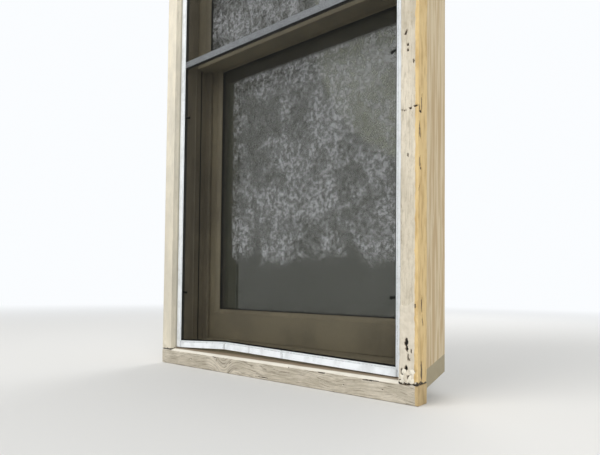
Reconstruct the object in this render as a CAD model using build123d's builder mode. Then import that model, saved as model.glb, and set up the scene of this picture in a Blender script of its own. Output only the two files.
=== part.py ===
from build123d import *
import math
import os

os.makedirs("parts", exist_ok=True)

# Double-hung sash window with its frame, exterior casing and insect screen.
# X runs across the window, +Y from the outside into the room, +Z up.
# The origin is in the wall plane (the back of the casing), in the middle, at the sill nose's underside.
# Lengths are in millimetres. "Left" and "right" are as seen from outside.

# Opening, casing and sill
opening_width = 720.0  # between the inner faces of the side casings
head_height = 1715.0  # from the nose's underside to the head jamb
casing_size = 38.0  # the casing is a square stick
nose_height = 38.0
sill_slope = 14.0  # degrees
sill_thickness = 38.0
drip_kerf = 4.0
drip_kerf_setback = 8.0

# Frame
frame_depth = 130.0  # wall plane to the jambs' edge in the room
jamb_thickness = 19.0
stop_width = 19.0  # how far blind and head stops stand in from the jambs
blind_stop_depth = 17.0
inner_stop_width = 30.0
stop_easing = 1.5

# Jamb liner: a hollow extrusion with two sash tracks
liner_depth = 15.0  # jamb face to track face
liner_wall = 1.6
leg_depth = 19.0
leg_height = 4.0
leg_bead = 7.0
leg_bead_rise = 1.2
track_width = 36.6
ridge_depth = 12.4
ridge_height = 17.0
ridge_nose = 2.0
slot_width = 5.0

# Sashes
sash_thickness = 35.0
side_play = 0.8
stile_width = 47.0
rabbet_width = 12.0
lip_depth = 14.0
sticking_step = 1.5
sticking_depth = 8.5
sticking_bulge = 1.8
meeting_height = 862.0  # from the nose's underside to the meeting rails' underside
meeting_rail_width = 38.0
top_rail_width = 60.0
bottom_rail_width = 84.0
sill_gap = 1.5
head_gap = 3.0
tenon_length = 28.0
tenon_thickness = 9.0
tenon_shoulder = 5.0
check_inset = 8.2  # from the upper sash's back to the joint at the meeting rails' top
check_taper = 4.0
check_gap = 1.2
check_side_gap = 1.5

# Glass and its seals
pane_thickness = 3.0
pane_gap = 6.0
glass_edge_gap = 2.0
gasket_thickness = 1.0
gasket_sight = 2.0
gasket_corner = 5.0
spacer_sight = 4.0
bead_nose = 3.0
bead_joint = 0.2

# Weatherstrips
strip_width = 3.0
strip_seat = 4.0
strip_gap = 0.3

# Sash balances
travel_margin = 115.0  # the raised lower sash stops this far below the head jamb
tube_radius = 4.75
tube_wall = 0.8
rod_radius = 2.0
rod_engagement = 30.0
shoe_height = 30.0
shoe_play = 0.3
shoe_rise = 42.0  # pivot bar above the sash's lowest edge
shoe_tube_gap = 5.0
pivot_radius = 2.2
pivot_length = 22.0
tube_plug = 24.0
tube_screw_drop = 12.0
tube_screw_radius = 1.6
tube_screw_length = 27.0

# Sash lock and lifts
lock_pivot_inset = 20.8  # from the room face of the lower sash
lock_plate_length = 56.0
lock_plate_width = 30.0
lock_plate_thickness = 2.5
lock_boss_radius = 9.0
lock_boss_height = 2.2
cam_thickness = 5.0
cam_hub_radius = 8.5
cam_half_angle = 38.0
cam_rest_angle = 10.0
cam_keeper_gap = 1.0
lock_pin_radius = 3.0
lock_pin_play = 0.08
lever_length = 36.0
lever_width = 9.0
lever_tip_radius = 5.5
lever_angle = 90.0
keeper_length = 50.0
keeper_wall = 3.0
keeper_plate_thickness = 2.2
keeper_setback = 1.4
keeper_lip_gap = 1.0
lock_screw_radius = 1.8
lock_screw_head = 3.4
lock_screw_length = 16.0
lock_screw_head_height = 1.7
screw_margin = 1.0
lift_spacing = 300.0
lift_length = 44.0
lift_height = 30.0
lift_plate = 2.5
lift_reach = 16.0
lift_rise = 26.0  # lift's lower edge above the rail's lower edge

# Insect screen
screen_setback = 20.0  # casing front to screen front
screen_thickness = 10.0
screen_bar = 19.0
screen_play = 0.8
screen_wall = 0.9
screen_groove = 3.4
screen_lip = 1.6
lip_drop = 0.5
mesh_thickness = 0.3
spline_depth = 2.6
spline_play = 0.1
crossbar_height = 847.0
kink_offset = -158.0  # where the bottom rail is bent up, across the window
kink_rise = 10.0
key_leg = 45.0
key_play = 0.3
tab_length = 21.0
tab_width = 6.0
tab_thickness = 1.2
tab_foot = 7.0
tab_heights = (213.0, 708.0)

# Fixings
nail_radius = 1.4
nail_head_radius = 2.3
nail_head_length = 1.5
nail_length = 64.0
nail_set = 1.5
nail_inset = 10.0  # from the casing's inner edge
nail_count = 4  # in each side casing
nail_low = 150.0  # lowest nail above the nose's underside
nail_drop = 95.0  # highest nail below the head jamb
nail_head_count = 3  # in the head casing
nail_end = 60.0  # its outer nails from the opening's sides
fixing_radius = 2.2
fixing_inset = 10.0  # from the casing's outer edge
fixing_low = 118.0  # lower fixings above the nose's underside
fixing_drop = 80.0  # upper fixings below the head jamb
screw_radius = 2.2
screw_head_radius = 4.4
screw_length = 62.0
screw_edge = 12.0  # rear screws from the jambs' edge in the room
screw_depth = 22.0  # front screws behind the wall plane

# Planes and lines that several pieces share
half_opening = opening_width / 2
half_frame = half_opening + jamb_thickness
half_casing = half_opening + casing_size
half_track = half_opening - liner_depth
half_ridge = half_track - ridge_height
half_sash = half_track - side_play
half_stop = half_opening - stop_width
sight_x = half_sash - stile_width
rabbet_x = sight_x + rabbet_width

casing_front = -casing_size
screen_front = casing_front + screen_setback
stop_front = screen_front + screen_thickness
liner_front = stop_front + blind_stop_depth
outer_track = liner_front + leg_depth
ridge_front = outer_track + track_width
inner_track = ridge_front + ridge_depth
liner_back = inner_track + track_width
sash_play = (track_width - sash_thickness) / 2
upper_front = outer_track + sash_play
lower_front = inner_track + sash_play
upper_back = upper_front + sash_thickness
lower_back = lower_front + sash_thickness

slope = math.tan(math.radians(sill_slope))
sill_plane = Plane(
    origin=(0, casing_front, nose_height),
    x_dir=(1, 0, 0),
    z_dir=(0, -math.sin(math.radians(sill_slope)), math.cos(math.radians(sill_slope))),
)


def sill_height(y):
    """Height of the sill's sloping top at depth y."""
    return nose_height + (y - casing_front) * slope


head_stop_height = head_height - stop_width
casing_top = head_height + casing_size
lower_bottom = sill_height(lower_front) + sill_gap
upper_top = head_height - head_gap
meeting_top = meeting_height + meeting_rail_width
lower_sight_low = lower_bottom + bottom_rail_width
lower_sight_high = meeting_height
upper_sight_low = meeting_top
upper_sight_high = upper_top - top_rail_width
sash_travel = head_height - meeting_top - travel_margin


def write(piece, name):
    """Label a finished piece and write its file."""
    piece.part.label = name
    export_step(piece.part, f"parts/{name}.step")


def mirrored(piece):
    """The same piece on the other side of the window."""
    with BuildPart() as other:
        mirror(piece.part, about=Plane.YZ)
    return other


def write_pair(piece, name):
    """Write a right-hand piece and its left-hand twin."""
    write(piece, f"right_{name}")
    write(mirrored(piece), f"left_{name}")


def block(x_low, x_high, y_low, y_high, z_low, z_high, mode=Mode.ADD):
    """Add or cut a straight block in the piece that is being built."""
    with Locations(((x_low + x_high) / 2, (y_low + y_high) / 2, (z_low + z_high) / 2)):
        Box(abs(x_high - x_low), abs(y_high - y_low), abs(z_high - z_low), mode=mode)


def drill(origin, direction, radius, depth):
    """Drill a round hole from a point along a direction."""
    with Locations(Plane(origin=origin, z_dir=direction)):
        Cylinder(
            radius,
            depth,
            align=(Align.CENTER, Align.CENTER, Align.MIN),
            mode=Mode.SUBTRACT,
        )


def peg(origin, direction, radius, length):
    """Add a round pin from a point along a direction."""
    with Locations(Plane(origin=origin, z_dir=direction)):
        Cylinder(radius, length, align=(Align.CENTER, Align.CENTER, Align.MIN))


def spread(low, high, count):
    """Evenly spaced places from low to high."""
    return [low + (high - low) * i / (count - 1) for i in range(count)]


def nail_places():
    """Where the finish nails go through the casing, as points on its front face."""
    side_x = half_opening + nail_inset
    heights = spread(nail_low, head_height - nail_drop, nail_count)
    offsets = spread(nail_end - half_opening, half_opening - nail_end, nail_head_count)
    places = [(side * side_x, height) for side in (-1, 1) for height in heights]
    return places + [(x, head_height + nail_inset) for x in offsets]


def cut_nail_holes(places):
    """Cut the finish nails' holes, with their sunk heads, into casing or jamb."""
    for x, z in places:
        drill((x, casing_front, z), (0, 1, 0), nail_head_radius, nail_set + nail_head_length)
        drill((x, casing_front, z), (0, 1, 0), nail_radius, nail_set + nail_length)


def screw_places():
    """Feet and heads of the side jambs, as the point of each screw's head and its direction."""
    x = half_opening + jamb_thickness / 2
    places = []
    for side in (-1, 1):
        for y in (screw_depth, frame_depth - screw_edge):
            places.append(((side * x, y, sill_height(y) - sill_thickness), (0, 0, 1)))
            places.append(((side * x, y, head_height + jamb_thickness), (0, 0, -1)))
    return places


def cut_screw_holes():
    """Cut the frame screws' holes and head seats into sill, head jamb or jamb."""
    for origin, direction in screw_places():
        drill(origin, direction, screw_radius, screw_length)
        start = tuple(o - d * screw_head_radius for o, d in zip(origin, direction))
        drill(start, direction, screw_head_radius, 2 * screw_head_radius)


def make_sill():
    """Sloping sill with a plumb nose, flat horns under the casings and a drip kerf."""
    with BuildPart() as sill:
        with BuildSketch(Plane.YZ):
            with BuildLine():
                Polyline(
                    (casing_front, 0),
                    (0, 0),
                    (0, sill_height(0) - sill_thickness),
                    (frame_depth, sill_height(frame_depth) - sill_thickness),
                    (frame_depth, sill_height(frame_depth)),
                    (casing_front, nose_height),
                    close=True,
                )
            make_face()
        extrude(amount=half_frame, both=True)
        block(-half_casing, half_casing, casing_front, 0, 0, nose_height)
        for side in (-1, 1):
            block(
                side * half_opening,
                side * (half_frame + 1),
                casing_front - 1,
                0,
                nose_height,
                sill_height(0) + 1,
                mode=Mode.SUBTRACT,
            )
        kerf = casing_front + drip_kerf_setback
        block(-half_casing, half_casing, kerf, kerf + drip_kerf, 0, drip_kerf, mode=Mode.SUBTRACT)
        cut_screw_holes()
    return sill


def make_side_casing():
    """Square casing stick that stands on the sill's horn, drilled for nails and wall fixings."""
    with BuildPart() as casing:
        block(half_opening, half_casing, casing_front, 0, nose_height, head_height)
        cut_nail_holes([(x, z) for x, z in nail_places() if x > 0 and z < head_height])
        for height in (fixing_low, head_height - fixing_drop):
            origin = (half_casing - fixing_inset, casing_front, height)
            drill(origin, (0, 1, 0), fixing_radius, casing_size)
    return casing


def make_head_casing():
    """Casing across the top, over the ends of the side casings."""
    with BuildPart() as casing:
        block(-half_casing, half_casing, casing_front, 0, head_height, casing_top)
        cut_nail_holes([(x, z) for x, z in nail_places() if z > head_height])
    return casing


def make_side_jamb():
    """Side jamb, from the sill's slope to the head jamb."""
    with BuildPart() as jamb:
        block(half_opening, half_frame, 0, frame_depth, 0, head_height)
        split(bisect_by=sill_plane, keep=Keep.TOP)
        cut_nail_holes([(x, z) for x, z in nail_places() if x > 0 and z < head_height])
        cut_screw_holes()
        drill_balance_screws()
    return jamb


def make_head_jamb():
    """Head jamb, over the ends of the side jambs."""
    with BuildPart() as jamb:
        block(-half_frame, half_frame, 0, frame_depth, head_height, head_height + jamb_thickness)
        cut_nail_holes([(x, z) for x, z in nail_places() if z > head_height])
        cut_screw_holes()
    return jamb


def make_side_blind_stop():
    """Blind stop that holds the screen off the liner, with an eased outer arris."""
    with BuildPart() as stop:
        with BuildSketch(Plane.XY.offset(head_height)):
            with BuildLine():
                Polyline(
                    (half_opening, stop_front),
                    (half_stop + stop_easing, stop_front),
                    (half_stop, stop_front + stop_easing),
                    (half_stop, liner_front),
                    (half_opening, liner_front),
                    close=True,
                )
            make_face()
        extrude(amount=-head_height)
        split(bisect_by=sill_plane, keep=Keep.TOP)
    return stop


def make_head_blind_stop():
    """Stop across the head, in front of the upper sash."""
    with BuildPart() as stop:
        block(-half_stop, half_stop, stop_front, outer_track, head_stop_height, head_height)
        edges = stop.edges().filter_by(Axis.X).group_by(Axis.Z)[0].sort_by(Axis.Y)
        chamfer(edges[0], stop_easing)
        for side in (-1, 1):
            block(
                side * (half_stop - leg_bead_rise),
                side * half_stop,
                liner_front,
                outer_track,
                head_stop_height - 1,
                head_height,
                mode=Mode.SUBTRACT,
            )
    return stop


def make_inner_stop():
    """Stop on the room side that keeps the lower sash in its track."""
    with BuildPart() as stop:
        face = half_opening - inner_stop_width
        block(face, half_opening, liner_back, frame_depth, 0, head_height)
        split(bisect_by=sill_plane, keep=Keep.TOP)
        chamfer(stop.edges().filter_by(Axis.Z).sort_by(Axis.X)[:2].sort_by(Axis.Y)[-1], stop_easing)
    return stop


def make_head_inner_stop():
    """Stop on the room side across the head, between the side stops."""
    with BuildPart() as stop:
        face = half_opening - inner_stop_width
        block(-face, face, liner_back, frame_depth, head_stop_height, head_height)
        chamfer(stop.edges().filter_by(Axis.X).group_by(Axis.Z)[0].sort_by(Axis.Y)[-1], stop_easing)
    return stop


def make_head_parting_stop():
    """Stop across the head between the two sash tracks."""
    with BuildPart() as stop:
        block(-half_ridge, half_ridge, ridge_front, inner_track, head_stop_height, head_height)
        chamfer(stop.edges().filter_by(Axis.X).group_by(Axis.Z)[0], stop_easing)
    return stop


def track_middles():
    """Depths of the balance slots, in the middle of each track."""
    return outer_track + track_width / 2, inner_track + track_width / 2


def make_jamb_liner():
    """Hollow liner: front leg, two slotted sash tracks and the parting ridge between them."""
    bead_start = outer_track - leg_bead
    leg_face = half_track - leg_height
    with BuildPart() as liner:
        with BuildSketch(Plane.XY):
            with BuildLine():
                Line((half_opening, liner_front), (leg_face, liner_front))
                Line((leg_face, liner_front), (leg_face, bead_start))
                ThreePointArc(
                    (leg_face, bead_start),
                    (leg_face - leg_bead_rise, bead_start + leg_bead / 2),
                    (leg_face, outer_track),
                )
                Line((leg_face, outer_track), (half_track, outer_track))
                Line((half_track, outer_track), (half_track, ridge_front))
                Line((half_track, ridge_front), (half_ridge + ridge_nose, ridge_front))
                ThreePointArc(
                    (half_ridge + ridge_nose, ridge_front),
                    (half_ridge, ridge_front + ridge_depth / 2),
                    (half_ridge + ridge_nose, inner_track),
                )
                Line((half_ridge + ridge_nose, inner_track), (half_track, inner_track))
                Line((half_track, inner_track), (half_track, liner_back))
                Line((half_track, liner_back), (half_opening, liner_back))
                Line((half_opening, liner_back), (half_opening, liner_front))
            make_face()
        extrude(amount=head_height)
        hollows = (
            (leg_face, liner_front, outer_track),
            (half_track, outer_track, ridge_front),
            (half_ridge + ridge_nose, ridge_front, inner_track),
            (half_track, inner_track, liner_back),
        )
        for face, y_low, y_high in hollows:
            block(
                face + liner_wall,
                half_opening - liner_wall,
                y_low + liner_wall,
                y_high - liner_wall,
                0,
                head_height,
                mode=Mode.SUBTRACT,
            )
        for y in track_middles():
            block(
                half_track,
                half_track + liner_wall,
                y - slot_width / 2,
                y + slot_width / 2,
                0,
                head_height,
                mode=Mode.SUBTRACT,
            )
        split(bisect_by=sill_plane, keep=Keep.TOP)
        drill_balance_screws()
    return liner


# Balance heights: the shoe's middle at rest, and the tube's lower end above the shoe's highest place
channel_x = half_opening - liner_depth / 2
upper_shoe = meeting_height + shoe_rise
lower_shoe = lower_bottom + shoe_rise
upper_tube_low = upper_shoe + shoe_height / 2 + shoe_tube_gap
lower_tube_low = lower_shoe + sash_travel + shoe_height / 2 + shoe_tube_gap
upper_rod_top = upper_tube_low + sash_travel + rod_engagement
lower_rod_top = lower_tube_low + rod_engagement
tube_top = head_height - head_gap
balance_screw_height = tube_top - tube_screw_drop
balance_screw_start = channel_x - tube_radius


def drill_balance_screws():
    """Holes for the screws that hang the balance tubes in the liner and jamb."""
    for side in (-1, 1):
        for y in track_middles():
            origin = (side * balance_screw_start, y, balance_screw_height)
            drill(origin, (side, 0, 0), tube_screw_radius, tube_screw_length)


def make_balance_tubes(y, low):
    """Pair of balance tubes, plugged at the top, where a screw hangs them."""
    with BuildPart() as tubes:
        for side in (-1, 1):
            centre = (side * channel_x, y, tube_top)
            peg(centre, (0, 0, -1), tube_radius, tube_top - low)
            plug_low = (side * channel_x, y, tube_top - tube_plug)
            drill(plug_low, (0, 0, -1), tube_radius - tube_wall, tube_top - tube_plug - low)
        drill_balance_screws()
    return tubes


def make_balance_screws():
    """Screws through the tubes' plugs and the liner into the jambs."""
    with BuildPart() as screws:
        for side in (-1, 1):
            for y in track_middles():
                origin = (side * balance_screw_start, y, balance_screw_height)
                peg(origin, (side, 0, 0), tube_screw_radius, tube_screw_length)
                peg(origin, (-side, 0, 0), 2 * tube_screw_radius, liner_wall / 2)
    return screws


def make_balance_rods(y, shoe, top):
    """Pair of balance rods, each standing in its shoe and reaching into its tube."""
    with BuildPart() as rods:
        for side in (-1, 1):
            peg((side * channel_x, y, shoe), (0, 0, 1), rod_radius, top - shoe)
    return rods


def make_balance_shoes(y, shoe):
    """Pair of shoes that run in the liner's channels, with the pivot bars that carry the sash."""
    inner = half_track + liner_wall + shoe_play
    outer = half_opening - liner_wall - shoe_play
    reach = track_width / 2 - liner_wall - shoe_play
    with BuildPart() as shoes:
        for side in (-1, 1):
            block(
                side * inner,
                side * outer,
                y - reach,
                y + reach,
                shoe - shoe_height / 2,
                shoe + shoe_height / 2,
            )
            peg((side * outer, y, shoe), (-side, 0, 0), pivot_radius, outer - inner + pivot_length)
            drill((side * channel_x, y, shoe), (0, 0, 1), rod_radius, shoe_height)
    return shoes


def sash_section(plane, width):
    """Section of a sash stick: from its outer edge to the sight line, and from front to back."""
    rabbet = width - rabbet_width
    with BuildSketch(plane) as section:
        with BuildLine():
            Line((0, 0), (rabbet, 0))
            Line((rabbet, 0), (rabbet, sticking_step))
            SagittaArc(
                (rabbet, sticking_step),
                (width, sticking_step + sticking_depth),
                sticking_bulge,
            )
            Line((width, sticking_step + sticking_depth), (width, lip_depth))
            Line((width, lip_depth), (rabbet, lip_depth))
            Line((rabbet, lip_depth), (rabbet, sash_thickness))
            Line((rabbet, sash_thickness), (0, sash_thickness))
            Line((0, sash_thickness), (0, 0))
        make_face()
    return section.sketch


def cut_lip(outline):
    """Cut a stick's moulded lip through its whole depth, by an outline seen from the front."""
    with BuildSketch(Plane.XZ) as cut:
        with BuildLine():
            Polyline(*outline, close=True)
        make_face()
    extrude(cut.sketch, amount=2 * frame_depth, both=True, mode=Mode.SUBTRACT)


def tenon_block(side, front, z_low, z_high, play, mode):
    """Tenon at a rail's end, or its mortise in a stile."""
    middle = front + (lip_depth + sash_thickness) / 2
    block(
        side * rabbet_x,
        side * (rabbet_x + tenon_length + play),
        middle - tenon_thickness / 2 - play,
        middle + tenon_thickness / 2 + play,
        z_low + tenon_shoulder - play,
        z_high - tenon_shoulder + play,
        mode=mode,
    )


mortise_play = 0.1


def make_stile(front, low, high, sight_low, sight_high, rails, shoe):
    """Right stile: moulded inner edge mitred at its corners, mortised for the rails."""
    with BuildPart() as stile:
        plane = Plane(origin=(half_sash, front, low), x_dir=(-1, 0, 0), z_dir=(0, 0, -1))
        extrude(sash_section(plane, stile_width), amount=-(high - low))
        for sight, end, step in ((sight_low, low - 1, -1), (sight_high, high + 1, 1)):
            corner = sight + step * rabbet_width
            cut_lip(
                (
                    (rabbet_x, corner),
                    (sight_x, sight),
                    (sight_x - 1, sight),
                    (sight_x - 1, end),
                    (rabbet_x, end),
                )
            )
        for z_low, z_high in rails:
            tenon_block(1, front, z_low, z_high, mortise_play, Mode.SUBTRACT)
        middle = front + sash_thickness / 2
        drill((half_sash, middle, shoe), (-1, 0, 0), pivot_radius, half_sash - pivot_tip)
    return stile


pivot_tip = half_track + liner_wall + shoe_play - pivot_length


def make_rail(front, low, high, sight, is_top):
    """Rail between the stiles, its moulded edge mitred at both ends, with its tenons."""
    if is_top:
        plane = Plane(origin=(-rabbet_x, front, high), x_dir=(0, 0, -1), z_dir=(1, 0, 0))
        rabbet = sight + rabbet_width
    else:
        plane = Plane(origin=(rabbet_x, front, low), x_dir=(0, 0, 1), z_dir=(-1, 0, 0))
        rabbet = sight - rabbet_width
    beyond = 2 * sight - rabbet
    extrude(sash_section(plane, high - low), amount=2 * rabbet_x)
    for side in (-1, 1):
        cut_lip(
            (
                (side * rabbet_x, rabbet),
                (side * sight_x, sight),
                (side * sight_x, beyond),
                (side * (rabbet_x + 1), beyond),
                (side * (rabbet_x + 1), rabbet),
            )
        )
        z_low, z_high = tenon_span(low, high, sight, is_top)
        tenon_block(side, front, z_low, z_high, 0, Mode.ADD)


def tenon_span(low, high, sight, is_top):
    """The part of a rail's height that its full thickness fills."""
    if is_top:
        return sight + rabbet_width, high
    return low, sight - rabbet_width


check_joint_high = upper_back + check_inset
check_joint_low = check_joint_high + check_taper


def check_outline(back_of_joint):
    """Outline of a meeting rail's check, up to the sloping joint between the two rails."""
    if back_of_joint:
        gap = check_gap / 2
        return (
            (lower_front, meeting_height),
            (check_joint_low + gap, meeting_height),
            (check_joint_high + gap, meeting_top),
            (lower_front, meeting_top),
        )
    gap = -check_gap / 2
    return (
        (upper_back, meeting_height),
        (check_joint_low + gap, meeting_height),
        (check_joint_high + gap, meeting_top),
        (upper_back, meeting_top),
    )


def add_check(back_of_joint):
    """Add a meeting rail's check, notched clear of the liner's ridges."""
    with BuildSketch(Plane.YZ) as check:
        with BuildLine():
            Polyline(*check_outline(back_of_joint), close=True)
        make_face()
    extrude(check.sketch, amount=half_ridge - check_side_gap, both=True)


def lock_screw_places():
    """Heads of the screws in the lock's plate."""
    x = lock_plate_length / 2 - 2 * lock_screw_head
    return [(side * x, lock_pivot, meeting_top + lock_plate_thickness) for side in (-1, 1)]


def keeper_screw_places():
    """Heads of the screws in the keeper's plate."""
    x = keeper_length / 2 - 2 * lock_screw_head
    y = keeper_back - lock_screw_head - screw_margin
    return [(side * x, y, meeting_top + keeper_plate_thickness) for side in (-1, 1)]


lock_pivot = lower_back - lock_pivot_inset
upper_glass_back = upper_front + lip_depth + gasket_thickness + 2 * pane_thickness + pane_gap
keeper_back = check_joint_high - keeper_setback
keeper_front = upper_glass_back + cam_keeper_gap
cam_tip = keeper_front + keeper_wall + cam_keeper_gap
cam_radius = lock_pivot - cam_tip
cam_low = meeting_top + lock_plate_thickness + lock_boss_height
cam_high = cam_low + cam_thickness


def drill_screws(places):
    """Pilot holes for the lock's or the keeper's screws."""
    for place in places:
        drill(place, (0, 0, -1), lock_screw_radius, lock_screw_length)


def make_upper_meeting_rail():
    """Lower rail of the upper sash, with the check that meets the lower sash."""
    with BuildPart() as rail:
        make_rail(upper_front, meeting_height, meeting_top, upper_sight_low, False)
        add_check(False)
        drill_screws(keeper_screw_places())
    return rail


def make_upper_top_rail():
    """Top rail of the upper sash, kerfed for its weatherstrip."""
    with BuildPart() as rail:
        make_rail(upper_front, upper_sight_high, upper_top, upper_sight_high, True)
        middle = upper_front + (lip_depth + sash_thickness) / 2
        block(
            -rabbet_x,
            rabbet_x,
            middle - strip_width / 2,
            middle + strip_width / 2,
            upper_top - strip_seat,
            upper_top,
            mode=Mode.SUBTRACT,
        )
    return rail


def make_lower_meeting_rail():
    """Top rail of the lower sash, with its check and the kerf for the meeting strip."""
    with BuildPart() as rail:
        make_rail(lower_front, meeting_height, meeting_top, lower_sight_high, True)
        add_check(True)
        drill_screws(lock_screw_places())
        cut_meeting_kerf()
    return rail


def meeting_strip_box():
    """Depths and heights of the strip between the meeting rails."""
    middle = (meeting_height + meeting_top) / 2
    face = (check_joint_low + check_joint_high) / 2
    y_low = face - check_gap / 2 + strip_gap
    y_high = face + check_gap / 2 + strip_seat
    return y_low, y_high, middle - strip_width / 2, middle + strip_width / 2


def cut_meeting_kerf():
    """Kerf for the strip in the lower sash's check."""
    y_low, y_high, z_low, z_high = meeting_strip_box()
    block(-sight_x, sight_x, y_low, y_high, z_low, z_high, mode=Mode.SUBTRACT)


def make_meeting_strip():
    """Pile strip that closes the joint between the meeting rails."""
    with BuildPart() as strip:
        y_low, y_high, z_low, z_high = meeting_strip_box()
        block(-sight_x, sight_x, y_low, y_high, z_low, z_high)
    return strip


def bottom_strip_depth():
    """Depth of the strip under the lower sash."""
    return lower_front + sash_thickness / 2


def make_lower_bottom_rail():
    """Bottom rail of the lower sash, bevelled to the sill and kerfed for its weatherstrip."""
    with BuildPart() as rail:
        make_rail(lower_front, lower_bottom, lower_sight_low, lower_sight_low, False)
        cut_sash_foot()
        middle = bottom_strip_depth()
        block(
            -rabbet_x,
            rabbet_x,
            middle - strip_width / 2,
            middle + strip_width / 2,
            lower_bottom - 1,
            sill_height(middle) + sill_gap + strip_seat,
            mode=Mode.SUBTRACT,
        )
    return rail


def cut_sash_foot():
    """Bevel a lower sash piece parallel to the sill, one gap above it."""
    lifted = Plane(
        origin=(0, lower_front, lower_bottom),
        x_dir=(1, 0, 0),
        z_dir=sill_plane.z_dir,
    )
    split(bisect_by=lifted, keep=Keep.TOP)


def make_bottom_strip():
    """Strip in the bottom rail's kerf that reaches down to the sill."""
    with BuildPart() as strip:
        middle = bottom_strip_depth()
        low = sill_height(middle + strip_width / 2) + strip_gap
        high = sill_height(middle) + sill_gap + strip_seat
        half = strip_width / 2
        block(-rabbet_x, rabbet_x, middle - half, middle + half, low, high)
    return strip


def make_top_strip():
    """Strip in the upper sash's top kerf that reaches up to the head jamb."""
    with BuildPart() as strip:
        middle = upper_front + (lip_depth + sash_thickness) / 2
        block(
            -rabbet_x,
            rabbet_x,
            middle - strip_width / 2,
            middle + strip_width / 2,
            upper_top - strip_seat,
            head_height - strip_gap,
        )
    return strip


def ring(front, depth, outer_grow, inner_grow, low, high, corner=0.0):
    """Flat frame round a sash's daylight opening, set back to a given depth."""
    with BuildSketch(Plane.XZ.offset(-front)) as outline:
        with Locations((0, (low + high) / 2)):
            Rectangle(2 * (sight_x + outer_grow), high - low + 2 * outer_grow)
            if corner:
                RectangleRounded(
                    2 * (sight_x + inner_grow),
                    high - low + 2 * inner_grow,
                    corner,
                    mode=Mode.SUBTRACT,
                )
            else:
                Rectangle(
                    2 * (sight_x + inner_grow),
                    high - low + 2 * inner_grow,
                    mode=Mode.SUBTRACT,
                )
    extrude(outline.sketch, amount=-depth)


def make_glass(front, low, high):
    """Sealed double pane that stands in the sash's rabbet."""
    glass_front = front + lip_depth + gasket_thickness
    reach = sight_x + rabbet_width - glass_edge_gap
    edge = rabbet_width - glass_edge_gap
    with BuildPart() as glass:
        for y in (glass_front, glass_front + pane_thickness + pane_gap):
            block(-reach, reach, y, y + pane_thickness, low - edge, high + edge)
    return glass


def make_spacer(front, low, high):
    """Spacer bar between the two panes, all the way round."""
    y = front + lip_depth + gasket_thickness + pane_thickness
    with BuildPart() as spacer:
        ring(y, pane_gap, rabbet_width - glass_edge_gap, -spacer_sight, low, high)
    return spacer


def make_gasket(front, low, high):
    """Glazing gasket between the moulded lip and the glass, with its bead in sight."""
    with BuildPart() as gasket:
        edge = rabbet_width - glass_edge_gap
        y = front + lip_depth
        ring(y, gasket_thickness, edge, -gasket_sight, low, high, gasket_corner)
        ring(y - gasket_sight, gasket_sight, 0, -gasket_sight, low, high, gasket_corner)
    return gasket


def make_glazing_beads(front, low, high):
    """Four mitred beads that hold the glass from the room side."""
    y = front + lip_depth + gasket_thickness + 2 * pane_thickness + pane_gap
    depth = front + sash_thickness - y
    middle = (low + high) / 2
    half_height = (high - low) / 2
    sides = (
        ((-1, 0, 0), (0, 0, 1), sight_x, half_height),
        ((1, 0, 0), (0, 0, -1), sight_x, half_height),
        ((0, 0, 1), (1, 0, 0), half_height, sight_x),
        ((0, 0, -1), (-1, 0, 0), half_height, sight_x),
    )
    with BuildPart() as beads:
        for outward, along, distance, half_length in sides:
            start = Vector(0, y, middle) + Vector(outward) * (distance + rabbet_width)
            inward = Vector(outward) * -1
            plane = Plane(origin=start, x_dir=inward, z_dir=inward.cross(Vector(0, 1, 0)))
            with BuildPart(mode=Mode.PRIVATE) as stick:
                with BuildSketch(plane) as profile:
                    with BuildLine():
                        Line((0, 0), (rabbet_width, 0))
                        Line((rabbet_width, 0), (rabbet_width, bead_nose))
                        SagittaArc((rabbet_width, bead_nose), (bead_nose, depth), -bead_nose / 3)
                        Line((bead_nose, depth), (0, depth))
                        Line((0, depth), (0, 0))
                    make_face()
                extrude(amount=half_length + rabbet_width, both=True)
                for end in (-1, 1):
                    axis = Vector(along) * end
                    corner = start + axis * (half_length + rabbet_width - bead_joint)
                    normal = axis * -1 + Vector(outward)
                    split(bisect_by=Plane(origin=corner, z_dir=normal), keep=Keep.TOP)
            add(stick.part)
    return beads


def make_lock_base():
    """Plate and boss of the sash lock, with the pin that the cam turns on."""
    with BuildPart() as base:
        with BuildSketch(Plane.XY.offset(meeting_top)):
            with Locations((0, lock_pivot)):
                SlotOverall(lock_plate_length, lock_plate_width)
        extrude(amount=lock_plate_thickness)
        peg((0, lock_pivot, meeting_top), (0, 0, 1), lock_boss_radius, cam_low - meeting_top)
        peg((0, lock_pivot, cam_low), (0, 0, 1), lock_pin_radius, cam_thickness)
        drill_screws(lock_screw_places())
    return base


def turned(angle, length):
    """Point at a distance from the lock's pin, in plan."""
    x = length * math.cos(math.radians(angle))
    y = length * math.sin(math.radians(angle))
    return x, y


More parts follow.
